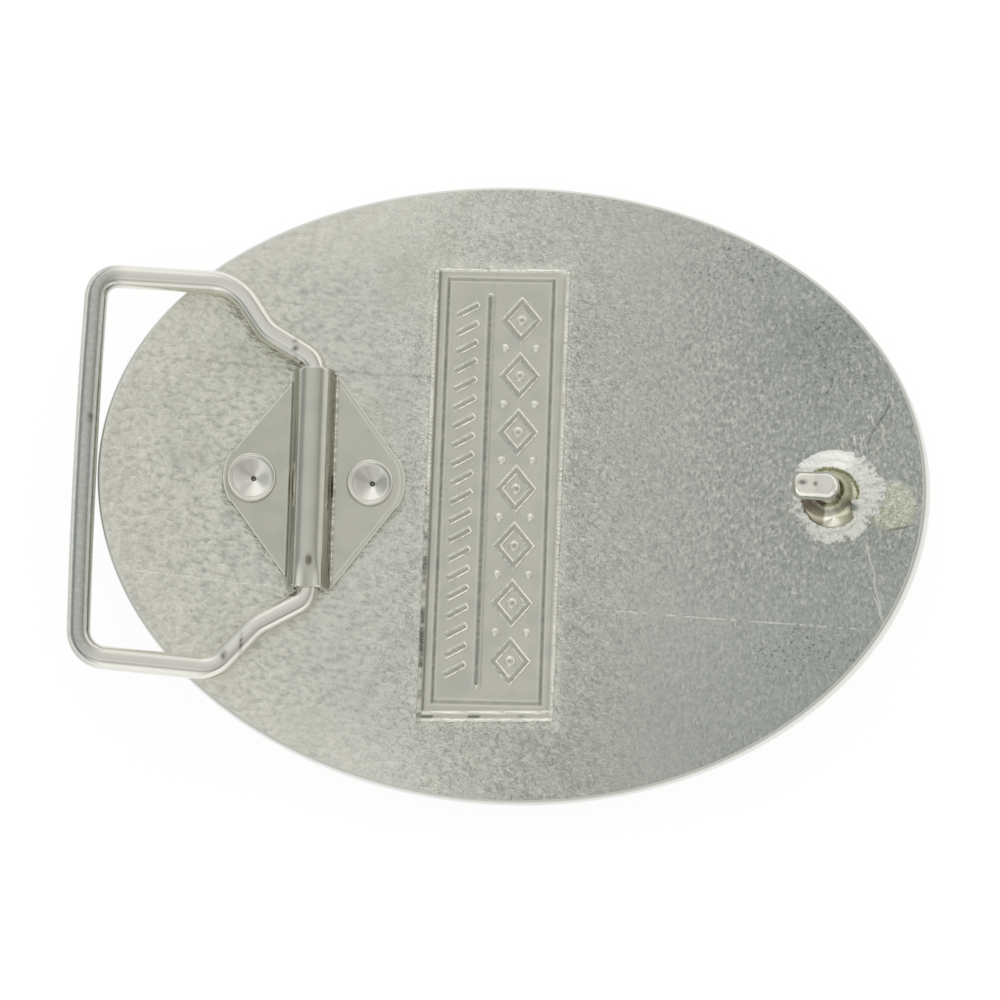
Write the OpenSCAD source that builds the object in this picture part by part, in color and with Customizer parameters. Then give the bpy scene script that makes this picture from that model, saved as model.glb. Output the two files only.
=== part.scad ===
// Western belt buckle, lying on its front with its back upwards.
// X runs along the buckle from the bail to the hook, Y across it, Z up from the lowest line of the front.
// The plate is bowed about an axis along Y, so places on its back are given as a distance along the bow and a Y.

/* [Plate] */
// Half of the plate's length, measured along the bow
plate_half_length = 44.6; // [42:0.05:47]
// Half of the plate's width
plate_half_width = 34.2; // [32:0.05:37]
// Thickness of the cast plate
plate_thickness = 2.8; // [2.4:0.1:3.4]
// Radius of the bow on the back face
bow_radius = 150; // [130:5:220]
// Radius of the rounded edge round the front
front_edge_radius = 0.7; // [0.4:0.1:1.2]

/* [Panel] */
// Where the panel's middle lies along the bow
panel_along = -2.1; // [-4:0.05:2]
// Where the panel's middle lies across the buckle
panel_across = -0.35; // [-2:0.05:2]
// Size of the panel along the buckle
panel_width = 14.2; // [13.5:0.1:16]
// Size of the panel across the buckle
panel_length = 50; // [46:0.1:52]
// Height of the raised lines and ornament above the face
relief_height = 0.3; // [0.15:0.05:0.5]
// Width of the bead round the panel
bead_width = 0.4; // [0.3:0.05:0.6]
// Distance from the panel's edge to its inner frame line
frame_inset = 1.2; // [0.9:0.05:1.4]
// How much wider the margin round the frame line is at the panel's near end
near_margin = 0.5; // [0:0.1:0.8]
// Width of the inner frame line and of the dividing rule
line_width = 0.3; // [0.2:0.05:0.5]
// Where the dividing rule lies along the bow
rule_along = -3.25; // [-4.2:0.05:-2.4]
// Length of the dividing rule
rule_length = 43.5; // [36:0.5:44]
// Number of lozenges in the wide column
lozenge_count = 7; // [5:1:7]
// Distance between lozenges
lozenge_pitch = 6.3; // [5.6:0.1:6.5]
// Number of slanted bars in the narrow column
bar_count = 20; // [12:1:20]
// Distance between slanted bars
bar_pitch = 2.1; // [1.6:0.1:2.2]

/* [Bracket] */
// Where the sleeve's middle lies along the bow
sleeve_along = -22.1; // [-24:0.1:-20]
// Where the sleeve's middle lies across the buckle
sleeve_across = -0.3; // [-2:0.05:2]
// How far the fittings stand askew on the plate, in degrees
fitting_turn = 1.1; // [0:0.1:2]
// Length of the sleeve
sleeve_length = 24; // [20:0.5:24]
// Thickness of the bracket's sheet
sheet = 0.9; // [0.7:0.1:1.1]
// Reach of the bracket's point on the side of the bail
point_left = 9.5; // [9.2:0.1:10]
// Reach of the bracket's point on the side of the hook
point_right = 10.3; // [9.6:0.1:11]
// Radius of the bracket's rounded points
point_radius = 5.2; // [4:0.1:6]
// Radius of the inside corner where the sleeve meets the flanges
foot_radius = 0.6; // [0.3:0.1:0.8]

/* [Rivets] */
// Distance of each rivet from the sleeve's middle
rivet_offset = 6.45; // [6.2:0.05:6.6]
// Radius of the left rivet's head
rivet_left_radius = 2.7; // [2.3:0.05:2.8]
// Radius of the right rivet's head
rivet_right_radius = 2.55; // [2.3:0.05:2.8]
// Radius of the rivets' shanks
shank_radius = 1.5; // [1.2:0.1:1.7]

/* [Bail] */
// Diameter of the bail's wire
wire_diameter = 2.5; // [2.2:0.1:2.6]
// How far the bail's plane rises towards its bar at rest, in degrees
rest_angle = 11; // [11:0.1:20]
// Distance from the sleeve's axis to the middle of the bail's bar
bar_reach = 23.95; // [23.9:0.05:28]
// How far the far arm lies from the bail's middle at the bar, and where the arm begins
far_bar_end = 21.15; // [19:0.05:22]
far_arm = 21.2; // [20:0.05:22]
// How far the near arm lies from the bail's middle at the bar, and where the arm begins
near_bar_end = 20.2; // [19:0.05:22]
near_arm = 21.05; // [20:0.05:22]

/* [Hook] */
// Where the hook stands along the bow
hook_along = 34.6; // [32:0.1:35]
// Where the hook stands across the buckle
hook_across = -0.5; // [-2:0.05:2]
// Radius of the hook's round shank and nose
hook_radius = 1.45; // [1.2:0.05:1.6]
// Height of the hook's bend above the face
hook_height = 5.9; // [5:0.1:7]
// Length of the nose from the bend to where its end begins to round off
nose_length = 2.45; // [2:0.05:4]
// Radius of the rounding of the nose's end
nose_end = 1; // [0.6:0.1:1.4]
// How far the nose points away from the face, in degrees
nose_rise = 16; // [0:1:40]
// Radius of the cone that the shank stands on
cone_radius = 3.75; // [3:0.05:4.5]
// Height of the cone
cone_height = 3.6; // [2.5:0.1:4.2]
// Radius of the pool of solder round the cone
solder_radius = 5.2; // [4.6:0.1:5.8]
// Thickness of the pool of solder
solder_thickness = 0.35; // [0.2:0.05:0.5]

/* [Hidden] */
$fn = 64;

// Space left between pieces that lie on each other
seat_gap = 0.05;
// Space between the wire and the bore of the sleeve
bore_gap = 0.08;
// Distance that a cut or a root runs past the face it starts from
overrun = 1;
// Bends are this much thicker than the straight runs, which reach a little way into them
bend_swell = 0.01;
run_overlap = 0.12;

front_radius = bow_radius + plate_thickness;
bow_axis_height = bow_radius + plate_thickness;
wire_radius = wire_diameter / 2;
axis_height = wire_radius + 0.1;
bore_radius = wire_radius + bore_gap;
sleeve_radius = bore_radius + sheet;
sleeve_angle = sleeve_along / bow_radius * 180 / PI;
hinge_x = (bow_radius - axis_height) * sin(sleeve_angle);
hinge_z = bow_axis_height - (bow_radius - axis_height) * cos(sleeve_angle);

// The model's origin is under the middle of its whole length
left_end = hinge_x - bar_reach * cos(rest_angle) - far_bar_end * sin(fitting_turn) * 0.9 - wire_radius;
right_end = (front_radius - front_edge_radius) * sin(plate_half_length / bow_radius * 180 / PI);
origin_shift = -(left_end + right_end) / 2;

// Steps round the rim, and steps of the rounded edge
rim_steps = 144;
edge_steps = 4;

// The hand-bent loop is not quite even. Its bends: distance out from the sleeve's axis, distance across from
// the middle, bend radius
neck_end = sleeve_length / 2 + 1.15;
bail_bends = [
    [0, neck_end, 1.9],
    [5.3, 16.1, 4],
    [8.85, far_arm, 5],
    [bar_reach, far_bar_end, 2.3],
    [bar_reach, -near_bar_end, 2.8],
    [9.6, -near_arm, 3],
    [5.3, -16.2, 4],
    [0, -neck_end, 1.9],
];

// Puts children on the back face, with their Z along the face's normal
module on_back(along, across) {
    translate([origin_shift, across, bow_axis_height])
        rotate([0, -along / bow_radius * 180 / PI, 0])
            translate([0, 0, -bow_radius])
                children();
}

// The round bar along Y whose surface lies at a height above the back face
module bow_cylinder(height) {
    translate([origin_shift, 0, bow_axis_height])
        rotate([90, 0, 0])
            cylinder(h = 3 * plate_half_width, r = bow_radius - height, center = true, $fn = 720);
}

// The bowed layer between two heights above the back face
module bow_layer(low, high) {
    difference() {
        bow_cylinder(low);
        bow_cylinder(high);
    }
}

// A point of the rim at a turn round the oval, a distance from the bow's axis, and an inset from the edge
function rim_point(turn, distance, inset) =
    let (angle = (plate_half_length - inset) * cos(turn) / bow_radius * 180 / PI)
    [
        origin_shift + distance * sin(angle),
        (plate_half_width - inset) * sin(turn),
        bow_axis_height - distance * cos(angle)
    ];

// Rows of the rim from above the back to below the front: distance from the bow's axis, and inset
edge_rows = [
    for (i = [0:edge_steps - 1])
        let (turn = 90 * i / edge_steps)
        [
            front_radius - front_edge_radius * (1 - sin(turn)),
            front_edge_radius * (1 - cos(turn))
        ]
];
// The walls run on past the back and, drawn in, past the front
wall_start = [bow_radius - 1.5, 0];
wall_end = edge_rows[edge_steps - 1] + [0.45, 2.3];
rim_rows = concat([wall_start], edge_rows, [wall_end]);

// The walls of the plate, square to its bowed face, with a rounded front edge
module rim_form() {
    rows = len(rim_rows);
    ring = [
        for (row = rim_rows)
            for (i = [0:rim_steps - 1])
                rim_point(360 * i / rim_steps, row[0], row[1])
    ];
    top = [origin_shift, 0, plate_thickness + 3];
    bottom = [origin_shift, 0, -12];
    walls = [
        for (row = [0:rows - 2])
            for (i = [0:rim_steps - 1])
                let (
                    a = row * rim_steps + i,
                    b = row * rim_steps + (i + 1) % rim_steps,
                    c = a + rim_steps,
                    d = b + rim_steps
                )
                each [[a, b, c], [b, d, c]]
    ];
    top_index = rows * rim_steps;
    last = (rows - 1) * rim_steps;
    top_fan = [for (i = [0:rim_steps - 1]) [top_index, (i + 1) % rim_steps, i]];
    bottom_fan = [for (i = [0:rim_steps - 1]) [top_index + 1, last + i, last + (i + 1) % rim_steps]];
    polyhedron(points = concat(ring, [top, bottom]), faces = concat(walls, top_fan, bottom_fan));
}

module outline_frame(width, length, line) {
    difference() {
        square([width, length], center = true);
        square([width - 2 * line, length - 2 * line], center = true);
    }
}

module lozenge(width, length) {
    polygon([[-width / 2, 0], [0, -length / 2], [width / 2, 0], [0, length / 2]]);
}

// A row of hollow lozenges, each with a round stud, and pairs of small studs between them
module lozenge_column() {
    lozenge_width = 4.4;
    lozenge_length = 5.2;
    lozenge_line = 0.75;
    stud_radius = 0.55;
    small_radius = 0.4;
    first = -(lozenge_count - 1) / 2 * lozenge_pitch;
    for (i = [0:lozenge_count - 1])
        translate([0, first + i * lozenge_pitch]) {
            difference() {
                lozenge(lozenge_width, lozenge_length);
                lozenge(lozenge_width - 2 * lozenge_line, lozenge_length - 2.4 * lozenge_line);
            }
            circle(r = stud_radius);
        }
    for (i = [0:lozenge_count - 2])
        for (side = [-1, 1])
            translate([side * 1.7, first + (i + 0.5) * lozenge_pitch])
                circle(r = small_radius);
}

// A row of slanted bars, like the lay of a rope
module rope_column() {
    bar_length = 2.7;
    bar_width = 0.6;
    bar_slant = 30;
    first = -(bar_count - 1) / 2 * bar_pitch;
    for (i = [0:bar_count - 1])
        translate([0, first + i * bar_pitch])
            rotate(bar_slant)
                square([bar_length, bar_width], center = true);
}

module panel_drawing() {
    inner_width = panel_width - 2 * frame_inset;
    inner_length = panel_length - near_margin - 2 * frame_inset;
    rule = rule_along - panel_along;
    right_middle = (rule + inner_width / 2 - line_width / 2) / 2;
    left_middle = (rule - inner_width / 2 + line_width / 2) / 2;
    outline_frame(panel_width, panel_length, bead_width);
    translate([0, near_margin / 2]) {
        outline_frame(inner_width, inner_length, line_width);
        translate([rule, 0])
            square([line_width, rule_length], center = true);
        translate([right_middle, 0])
            lozenge_column();
        translate([left_middle, 0])
            rope_column();
    }
}

module panel_relief() {
    intersection() {
        on_back(panel_along, panel_across)
            translate([0, 0, -overrun])
                linear_extrude(height = 3 * overrun)
                    panel_drawing();
        bow_layer(-overrun, relief_height);
    }
}

// The soldered hook: a flared cone, a round shank and a short nose that points towards the bail.
// The nose thickens a little towards its root.
module hook() {
    step = cone_radius - hook_radius;
    flare = (cone_height * cone_height + step * step) / (2 * step);
    nose_tilt = 90 - nose_rise;
    root_swell = 0.08;
    root_length = 1.15;
    on_back(hook_along, hook_across) {
        rotate_extrude() {
            difference() {
                square([cone_radius, cone_height]);
                translate([hook_radius + flare, cone_height])
                    circle(r = flare, $fn = 128);
            }
        }
        translate([0, 0, -overrun])
            cylinder(h = overrun + 0.1, r = cone_radius);
        cylinder(h = hook_height, r = hook_radius);
        translate([0, 0, hook_height]) {
            sphere(r = hook_radius + root_swell + 2 * bend_swell);
            rotate([0, -nose_tilt, 0])
                rotate_extrude() {
                    polygon([
                        [0, 0],
                        [hook_radius + root_swell, 0],
                        [hook_radius, root_length],
                        [hook_radius, nose_length],
                        [0, nose_length],
                    ]);
                    translate([hook_radius - nose_end, nose_length])
                        intersection() {
                            circle(r = nose_end);
                            square(nose_end);
                        }
                    translate([0, nose_length - nose_end / 2])
                        square([hook_radius - nose_end, 1.5 * nose_end]);
                }
        }
    }
}

module solder() {
    on_back(hook_along, hook_across)
        translate([0.1, 0.1, -overrun]) {
            cylinder(h = overrun, r = solder_radius);
            translate([0, 0, overrun])
                cylinder(h = solder_thickness, r1 = solder_radius, r2 = solder_radius - 0.8);
        }
}

// Puts children at one rivet's place on the back face
module at_rivet(side) {
    on_back(
        sleeve_along + side * rivet_offset * cos(fitting_turn),
        sleeve_across + side * rivet_offset * sin(fitting_turn) - 0.15
    )
        children();
}

module plate() {
    bore_depth = 1.7;
    color("#a9aaa2")
        difference() {
            union() {
                intersection() {
                    bow_layer(-plate_thickness, 0);
                    rim_form();
                }
                panel_relief();
                solder();
                hook();
            }
            for (side = [-1, 1])
                at_rivet(side)
                    translate([0, 0, -bore_depth])
                        cylinder(h = bore_depth + overrun, r = shank_radius + seat_gap);
        }
}

// Half of the bracket's diamond: a corner cut to a round point
module diamond_half(reach, half) {
    corner = reach + point_radius * (sqrt(1 + pow(reach / half, 2)) - 1);
    intersection() {
        polygon([[0, -half], [corner, 0], [0, half]]);
        union() {
            translate([reach - point_radius, 0])
                circle(r = point_radius, $fn = 96);
            translate([-overrun, -half])
                square([overrun + round_start(reach, half), 2 * half]);
        }
    }
}

// Where the straight side of the diamond meets its round point
function round_start(reach, half) = reach - point_radius + point_radius * half / sqrt(half * half + reach * reach);

// The flanges' outline, which stops a little short of the sleeve's ends
module diamond() {
    half_right = 15.4;
    half_left = 13.8;
    end_inset = 0.2;
    intersection() {
        union() {
            diamond_half(point_right, half_right);
            mirror([1, 0])
                diamond_half(point_left, half_left);
        }
        square([4 * point_right, sleeve_length - 2 * end_inset], center = true);
    }
}

// The sheet's rolled sleeve over the wire, with its feet on the flanges
module sleeve_form() {
    rotate([90, 0, 0]) {
        translate([0, axis_height, 0])
            cylinder(h = sleeve_length, r = sleeve_radius, center = true, $fn = 96);
        translate([-sleeve_radius, -overrun, -sleeve_length / 2])
            cube([2 * sleeve_radius, overrun + axis_height, sleeve_length]);
    }
}

module sleeve_feet() {
    foot_top = seat_gap + sheet + foot_radius;
    for (side = [-1, 1])
        difference() {
            translate([side > 0 ? 0 : -(sleeve_radius + foot_radius), -sleeve_length / 2, 0])
                cube([sleeve_radius + foot_radius, sleeve_length, foot_top]);
            translate([side * (sleeve_radius + foot_radius), 0, foot_top])
                rotate([90, 0, 0])
                    cylinder(h = sleeve_length + overrun, r = foot_radius + 0.02, center = true);
        }
}

module sleeve_bore() {
    bore_length = sleeve_length + overrun;
    rotate([90, 0, 0]) {
        translate([0, axis_height, 0])
            cylinder(h = bore_length, r = bore_radius, center = true);
        translate([-bore_radius, -2 * overrun, -bore_length / 2])
            cube([2 * bore_radius, 2 * overrun + axis_height, bore_length]);
    }
}

module bracket() {
    color("#b6b5aa")
        difference() {
            union() {
                intersection() {
                    on_back(sleeve_along, sleeve_across)
                        rotate(fitting_turn)
                            translate([0, 0, -overrun])
                                linear_extrude(height = 3 * overrun)
                                    diamond();
                    bow_layer(seat_gap, seat_gap + sheet);
                }
                intersection() {
                    on_back(sleeve_along, sleeve_across)
                        rotate(fitting_turn) {
                            intersection() {
                                sleeve_feet();
                                translate([0, 0, -overrun])
                                    linear_extrude(height = 4 * overrun)
                                        diamond();
                            }
                            sleeve_form();
                        }
                    bow_cylinder(seat_gap);
                }
            }
            on_back(sleeve_along, sleeve_across)
                rotate(fitting_turn)
                    sleeve_bore();
            for (side = [-1, 1])
                at_rivet(side)
                    translate([0, 0, -overrun])
                        cylinder(h = 4 * overrun, r = shank_radius + seat_gap);
        }
}

// A spun rivet: its shank goes through the bracket into the plate, and its head has a conical dish
module rivet(side, head_radius) {
    under = 2 * seat_gap + sheet;
    head_top = under + 0.75;
    shank_end = -1.65;
    dish_radius = head_radius - 0.5;
    at_rivet(side)
        rotate_extrude()
            polygon([
                [0, shank_end],
                [shank_radius, shank_end],
                [shank_radius, under],
                [head_radius - 0.1, under],
                [head_radius, under + 0.15],
                [head_radius, under + 0.4],
                [head_radius - 0.12, head_top - 0.08],
                [head_radius - 0.3, head_top],
                [dish_radius, head_top - 0.08],
                [0.2, head_top - 1.1],
                [0, head_top - 1.2],
            ]);
}

module rivet_left() {
    color("#d8d8d4")
        rivet(-1, rivet_left_radius);
}

module rivet_right() {
    color("#d8d8d4")
        rivet(1, rivet_right_radius);
}

function unit(v) = v / norm(v);
function cross_z(a, b) = a[0] * b[1] - a[1] * b[0];

// Tangent points and centre of one bend: start, end, centre, radius, turn and side
function bend(i) =
    let (
        count = len(bail_bends),
        here = [bail_bends[i][0], bail_bends[i][1]],
        before = bail_bends[(i + count - 1) % count],
        after = bail_bends[(i + 1) % count],
        radius = bail_bends[i][2],
        way_in = unit(here - [before[0], before[1]]),
        way_out = unit([after[0], after[1]] - here),
        side = sign(cross_z(way_in, way_out)),
        turn = acos(way_in * way_out),
        cut = radius * tan(turn / 2),
        start = here - cut * way_in
    )
    [start, here + cut * way_out, start + side * radius * [-way_in[1], way_in[0]], radius, turn, side];

module wire_bend(b) {
    first = b[5] > 0 ? b[0] : b[1];
    spoke = first - b[2];
    translate([b[2][0], b[2][1], 0])
        rotate(atan2(spoke[1], spoke[0]))
            rotate_extrude(angle = b[4], $fn = 96)
                translate([b[3], 0])
                    circle(r = wire_radius + bend_swell, $fn = 48);
}

module wire_run(from, to) {
    way = to - from;
    translate([from[0], from[1], 0])
        rotate(atan2(way[1], way[0]))
            rotate([0, 90, 0])
                translate([0, 0, -run_overlap])
                    cylinder(h = norm(way) + 2 * run_overlap, d = wire_diameter, $fn = 48);
}

// The wire loop in its own plane, with X out from the sleeve's axis
module bail_form() {
    count = len(bail_bends);
    corners = [for (i = [0:count - 1]) bend(i)];
    for (i = [0:count - 1]) {
        wire_bend(corners[i]);
        wire_run(corners[i][1], corners[(i + 1) % count][0]);
    }
}

module bail() {
    color("#d4d5d2")
        on_back(sleeve_along, sleeve_across)
            rotate(fitting_turn)
                translate([0, 0, axis_height])
                    rotate([0, rest_angle + sleeve_angle, 0])
                        mirror([1, 0, 0])
                            bail_form();
}

plate();
bracket();
rivet_left();
rivet_right();
bail();
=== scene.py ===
"""Dresses the back of a western belt buckle in cast, sheet, wire and soldered metal, and sets up its view."""

import math
from functools import partial, reduce
from types import SimpleNamespace

import bmesh
import bpy
import numpy as np
from bpy.props import FloatProperty, FloatVectorProperty, IntProperty, PointerProperty
from mathutils import Matrix, Vector


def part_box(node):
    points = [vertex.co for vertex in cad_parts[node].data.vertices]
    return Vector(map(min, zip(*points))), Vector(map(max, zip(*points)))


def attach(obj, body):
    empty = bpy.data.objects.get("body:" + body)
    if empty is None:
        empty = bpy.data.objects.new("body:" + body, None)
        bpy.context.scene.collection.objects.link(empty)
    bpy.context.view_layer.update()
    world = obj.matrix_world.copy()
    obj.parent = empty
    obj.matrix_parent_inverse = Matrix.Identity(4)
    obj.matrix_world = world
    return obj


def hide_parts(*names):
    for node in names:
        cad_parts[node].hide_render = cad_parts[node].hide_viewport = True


bl_info = {
    "name": "Western Belt Buckle",
    "version": (1, 0, 0),
    "blender": (4, 5, 0),
    "location": "View3D > Sidebar > Buckle",
    "description": "Dresses the back of a western belt buckle and sets up the view of it",
    "category": "Add Mesh",
}

MM = 0.001
# Points that lie closer than this many mm are joined, and edges sharper than this many degrees stay sharp
WELD = 0.002
SHARP = 40
# The gap in mm between the bail's wire and the sleeve's bore, and between the wire and the plate's face
BORE_GAP = 0.08
WIRE_LIFT = 0.1

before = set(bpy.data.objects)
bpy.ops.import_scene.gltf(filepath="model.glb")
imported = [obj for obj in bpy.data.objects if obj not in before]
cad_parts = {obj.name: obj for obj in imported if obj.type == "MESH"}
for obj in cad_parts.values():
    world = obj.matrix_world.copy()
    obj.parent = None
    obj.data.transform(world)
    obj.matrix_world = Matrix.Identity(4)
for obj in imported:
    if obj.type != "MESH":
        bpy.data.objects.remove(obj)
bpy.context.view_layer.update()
plate_low, plate_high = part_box("plate")


def linear(code):
    """Linear RGBA from an sRGB hex code such as #A9AAA2."""
    parts = [int(code[i:i + 2], 16) / 255 for i in (1, 3, 5)]
    return [c / 12.92 if c <= 0.04045 else ((c + 0.055) / 1.055) ** 2.4 for c in parts] + [1.0]


# Sizes and colours that a user would change


def length(name, description, default):
    """A length property whose default is given in mm."""
    return FloatProperty(name=name, description=description, default=default * MM, precision=5, unit="LENGTH")


def angle(name, description, default):
    """An angle property whose default is given in degrees."""
    return FloatProperty(name=name, description=description, default=math.radians(default), subtype="ANGLE")


def count(name, description, default, least=1):
    return IntProperty(name=name, description=description, default=default, min=least)


def finish(name, description, code):
    return FloatVectorProperty(
        name=name, description=description, default=linear(code), size=4, min=0.0, max=1.0, subtype="COLOR"
    )


class PlateSizes(bpy.types.PropertyGroup):
    half_length: length("Half Length", "Half of the plate's length along its bow", 44.6)
    half_width: length("Half Width", "Half of the plate's width", 34.2)
    thickness: length("Thickness", "Thickness of the cast plate", 2.8)
    bow_radius: length("Bow Radius", "Radius of the bowed back face", 150.0)
    front_edge: length("Front Edge", "Radius of the rounded edge round the front", 0.7)
    back_edge: length("Back Edge", "Radius of the worn edge round the back", 0.38)
    cast_lump: length("Cast Lumps", "Height of the lumps of the cast back", 0.03)
    columns: count("Columns", "Points of the back's grid along it", 262, 20)
    rows: count("Rows", "Points of the back's grid across it", 222, 20)
    upright_end: length("Upright End", "How much the wall's lean is lessened at the bail's end", 0.46)


class PanelSizes(bpy.types.PropertyGroup):
    along: length("Along", "Where the panel's middle lies along the bow", -2.1)
    across: length("Across", "Where the panel's middle lies across the buckle", -0.35)
    width: length("Width", "The panel's size along the buckle", 14.2)
    height: length("Height", "The panel's size across the buckle", 50.0)
    relief: length("Relief", "Height of the raised lines and ornament", 0.3)
    bead: length("Bead", "Width of the bead round the panel", 0.4)
    inset: length("Inset", "Distance from the panel's edge to its inner line", 1.2)
    near_margin: length("Near Margin", "How much wider the margin is at the near end", 0.5)
    rule: length("Rule", "Where the dividing rule lies along the bow", -3.25)
    rule_length: length("Rule Length", "Length of the dividing rule", 43.5)
    lozenge_pitch: length("Lozenge Pitch", "Distance between lozenges", 6.3)
    bar_pitch: length("Bar Pitch", "Distance between slanted bars", 2.1)
    lozenges: count("Lozenges", "Number of lozenges", 7)
    bars: count("Bars", "Number of slanted bars", 20)
    grid: length("Grid", "Distance between the points of the panel's grid", 0.1)


class BracketSizes(bpy.types.PropertyGroup):
    along: length("Along", "Where the sleeve's middle lies along the bow", -22.1)
    across: length("Across", "Where the sleeve's middle lies across the buckle", -0.3)
    turn: angle("Turn", "How far the fittings stand askew", 1.1)
    sleeve_length: length("Sleeve Length", "Length of the rolled sleeve", 24.0)
    sheet: length("Sheet", "Thickness of the sheet", 0.9)
    point_left: length("Left Point", "Reach of the point on the bail's side", 9.5)
    point_right: length("Right Point", "Reach of the point on the hook's side", 10.3)
    half_left: length("Left Half", "Half length of the diamond on the bail's side", 13.8)
    half_right: length("Right Half", "Half length of the diamond on the hook's side", 15.4)
    point_radius: length("Point Radius", "Radius of the rounded points", 5.2)
    foot_radius: length("Foot Radius", "Radius of the inside corner along the sleeve", 0.6)
    rivet_offset: length("Rivet Offset", "Distance of each rivet from the sleeve's middle", 6.45)
    rivet_across: length("Rivet Across", "How far the rivets lie off the sleeve's middle line", -0.15)
    rivet_left: length("Left Rivet", "Radius of the left rivet's head", 2.7)
    rivet_right: length("Right Rivet", "Radius of the right rivet's head", 2.55)


class BailSizes(bpy.types.PropertyGroup):
    wire: length("Wire", "Diameter of the bail's wire", 2.5)
    rest_angle: angle("Rest Angle", "Rise of the bail towards its bar", 11)
    bar_reach: length("Bar Reach", "Distance from the sleeve's axis to the bar", 23.85)
    bar_bow: length("Bar Bow", "How far the bar bows outwards", 0.3)
    far_bar_end: length("Far Bar End", "How far the far arm lies from the middle at the bar", 21.15)
    far_arm: length("Far Arm", "How far the far arm lies from the middle where it begins", 21.2)
    near_bar_end: length("Near Bar End", "How far the near arm lies from the middle at the bar", 20.2)
    near_arm: length("Near Arm", "How far the near arm lies from the middle where it begins", 21.05)


class HookSizes(bpy.types.PropertyGroup):
    along: length("Along", "Where the hook stands along the bow", 34.6)
    across: length("Across", "Where the hook stands across the buckle", -0.5)
    radius: length("Radius", "Radius of the round shank and nose", 1.45)
    height: length("Height", "Height of the bend above the face", 5.9)
    nose: length("Nose", "Length of the nose from the bend to where its end begins to round off", 2.45)
    nose_end: length("Nose End", "Radius of the rounding of the nose's end", 1.0)
    nose_rise: angle("Nose Rise", "How far the nose points off the face", 16)
    flat_top: length("Flat Top", "Height of the flattened top over the middle of the bend and nose", 1.15)
    cone_radius: length("Cone Radius", "Radius of the cone under the shank", 3.75)
    cone_height: length("Cone Height", "Height of the cone", 3.6)
    pool_radius: length("Pool Radius", "Radius of the pool of solder", 5.15)
    pool_height: length("Pool Height", "Height of the pool of solder round the cone", 0.24)


class Finishes(bpy.types.PropertyGroup):
    cast: finish("Cast Metal", "Nickel over the cast back", "#EBEADF")
    # Painted shade: towards the hook's end the plate is painted this duller grey; elsewhere it is a cloudy
    # tone
    cast_cool: finish("Cast Metal by the Hook", "Duller nickel towards the hook's end", "#B0B4AE")
    struck: finish("Struck Metal", "Nickel over the smooth panel", "#D2D0C4")
    buffed: finish("Buffed Metal", "Nickel over the buffed rim and front", "#DADBD4")
    sheet: finish("Sheet", "Nickel over the bracket's sheet", "#CDCDC0")
    wire: finish("Wire", "Nickel over the bail and the rivets", "#E8E6DE")
    film: finish("Film", "Dull film that the strap left on the bail's bar", "#B3B6B0")
    solder: finish("Solder", "Tin solder round the hook", "#FAFAF3")
    cone: finish("Cone", "Nickel stained olive by the soldering heat", "#CBCAB2")
    # Painted highlight: this bright colour is painted on crests, edges and glints, besides places scuffed
    # bright
    worn: finish("Worn Metal", "Bright nickel where raised edges are rubbed", "#F6F4EA")
    # Painted shade: this brown is painted along the bracket sleeve's feet, and as a painted reflection low on
    # the hook's cone
    tarnish: finish("Tarnish", "Brown stain in corners and on the cone", "#7C6A62")
    # Painted shade: this grey is painted into the cast skin's hollows, over darker parts of the plate, and
    # into the solder's crust
    hollow: finish("Hollows", "Dull nickel in the hollows of the casting's skin", "#8E918D")
    # Painted shade: this grey darkens the panel's grooves and corners, and its shadowed left side
    groove: finish("Grooves", "Grime in the panel's grooves", "#6F7066")
    # Also the darkest painted shade: in the rivets' pits, the sleeve's punch mark and the panel's deepest
    # grooves
    pit: finish("Pits", "Grit caught in pits of the casting", "#4E504C")
    flux: finish("Flux", "Yellow-green stain of soldering flux", "#D3D5BC")
    paper: finish("Paper", "White paper under the buckle", "#FFFFFF")


def settings(context, *names):
    """The named groups of settings, with their lengths in mm."""
    groups = []
    for name in names:
        stored = getattr(context.scene, "buckle_" + name)
        group = SimpleNamespace()
        for field in stored.__annotations__:
            value = getattr(stored, field)
            is_length = stored.bl_rna.properties[field].unit == "LENGTH"
            setattr(group, field, value / MM if is_length else value)
        groups.append(group)
    return groups


# Meshes


def noise_field(x, y, seed):
    """Smooth random values from -1 to 1, with lumps about one unit across."""
    size = 64
    table = np.random.default_rng(seed).uniform(-1.0, 1.0, (size, size))
    column = np.floor(x).astype(int)
    row = np.floor(y).astype(int)
    right = smooth_step(0, 1, x - column)
    up = smooth_step(0, 1, y - row)

    def corner(i, j):
        return table[(row + j) % size, (column + i) % size]

    low = corner(0, 0) * (1 - right) + corner(1, 0) * right
    high = corner(0, 1) * (1 - right) + corner(1, 1) * right
    return low * (1 - up) + high * up


def smooth_step(low, high, x):
    t = np.clip((x - low) / (high - low), 0, 1)
    return t * t * (3 - 2 * t)


def bell(x, y, half_x, half_y):
    """A soft round bump, one at its middle."""
    return np.exp(-(x / half_x) ** 2 - (y / half_y) ** 2)


def ridge(distance, width):
    """A rounded ridge over a line, from the distance to the line."""
    return np.cos(np.clip(distance / width, -0.5, 0.5) * math.pi) ** 0.7


def dome(x, y, radius):
    return np.sqrt(np.clip(1 - (x * x + y * y) / (radius * radius), 0, 1))


def lozenge_mask(x, y, half_x, half_y, soft):
    """One inside a lozenge and nought outside it, with a soft edge."""
    inside = (1 - abs(x) / half_x - abs(y) / half_y) / math.hypot(1 / half_x, 1 / half_y)
    return smooth_step(-soft, soft, inside)


def box_mask(x, y, half_x, half_y, soft):
    return smooth_step(-soft, soft, half_x - abs(x)) * smooth_step(-soft, soft, half_y - abs(y))


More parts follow.
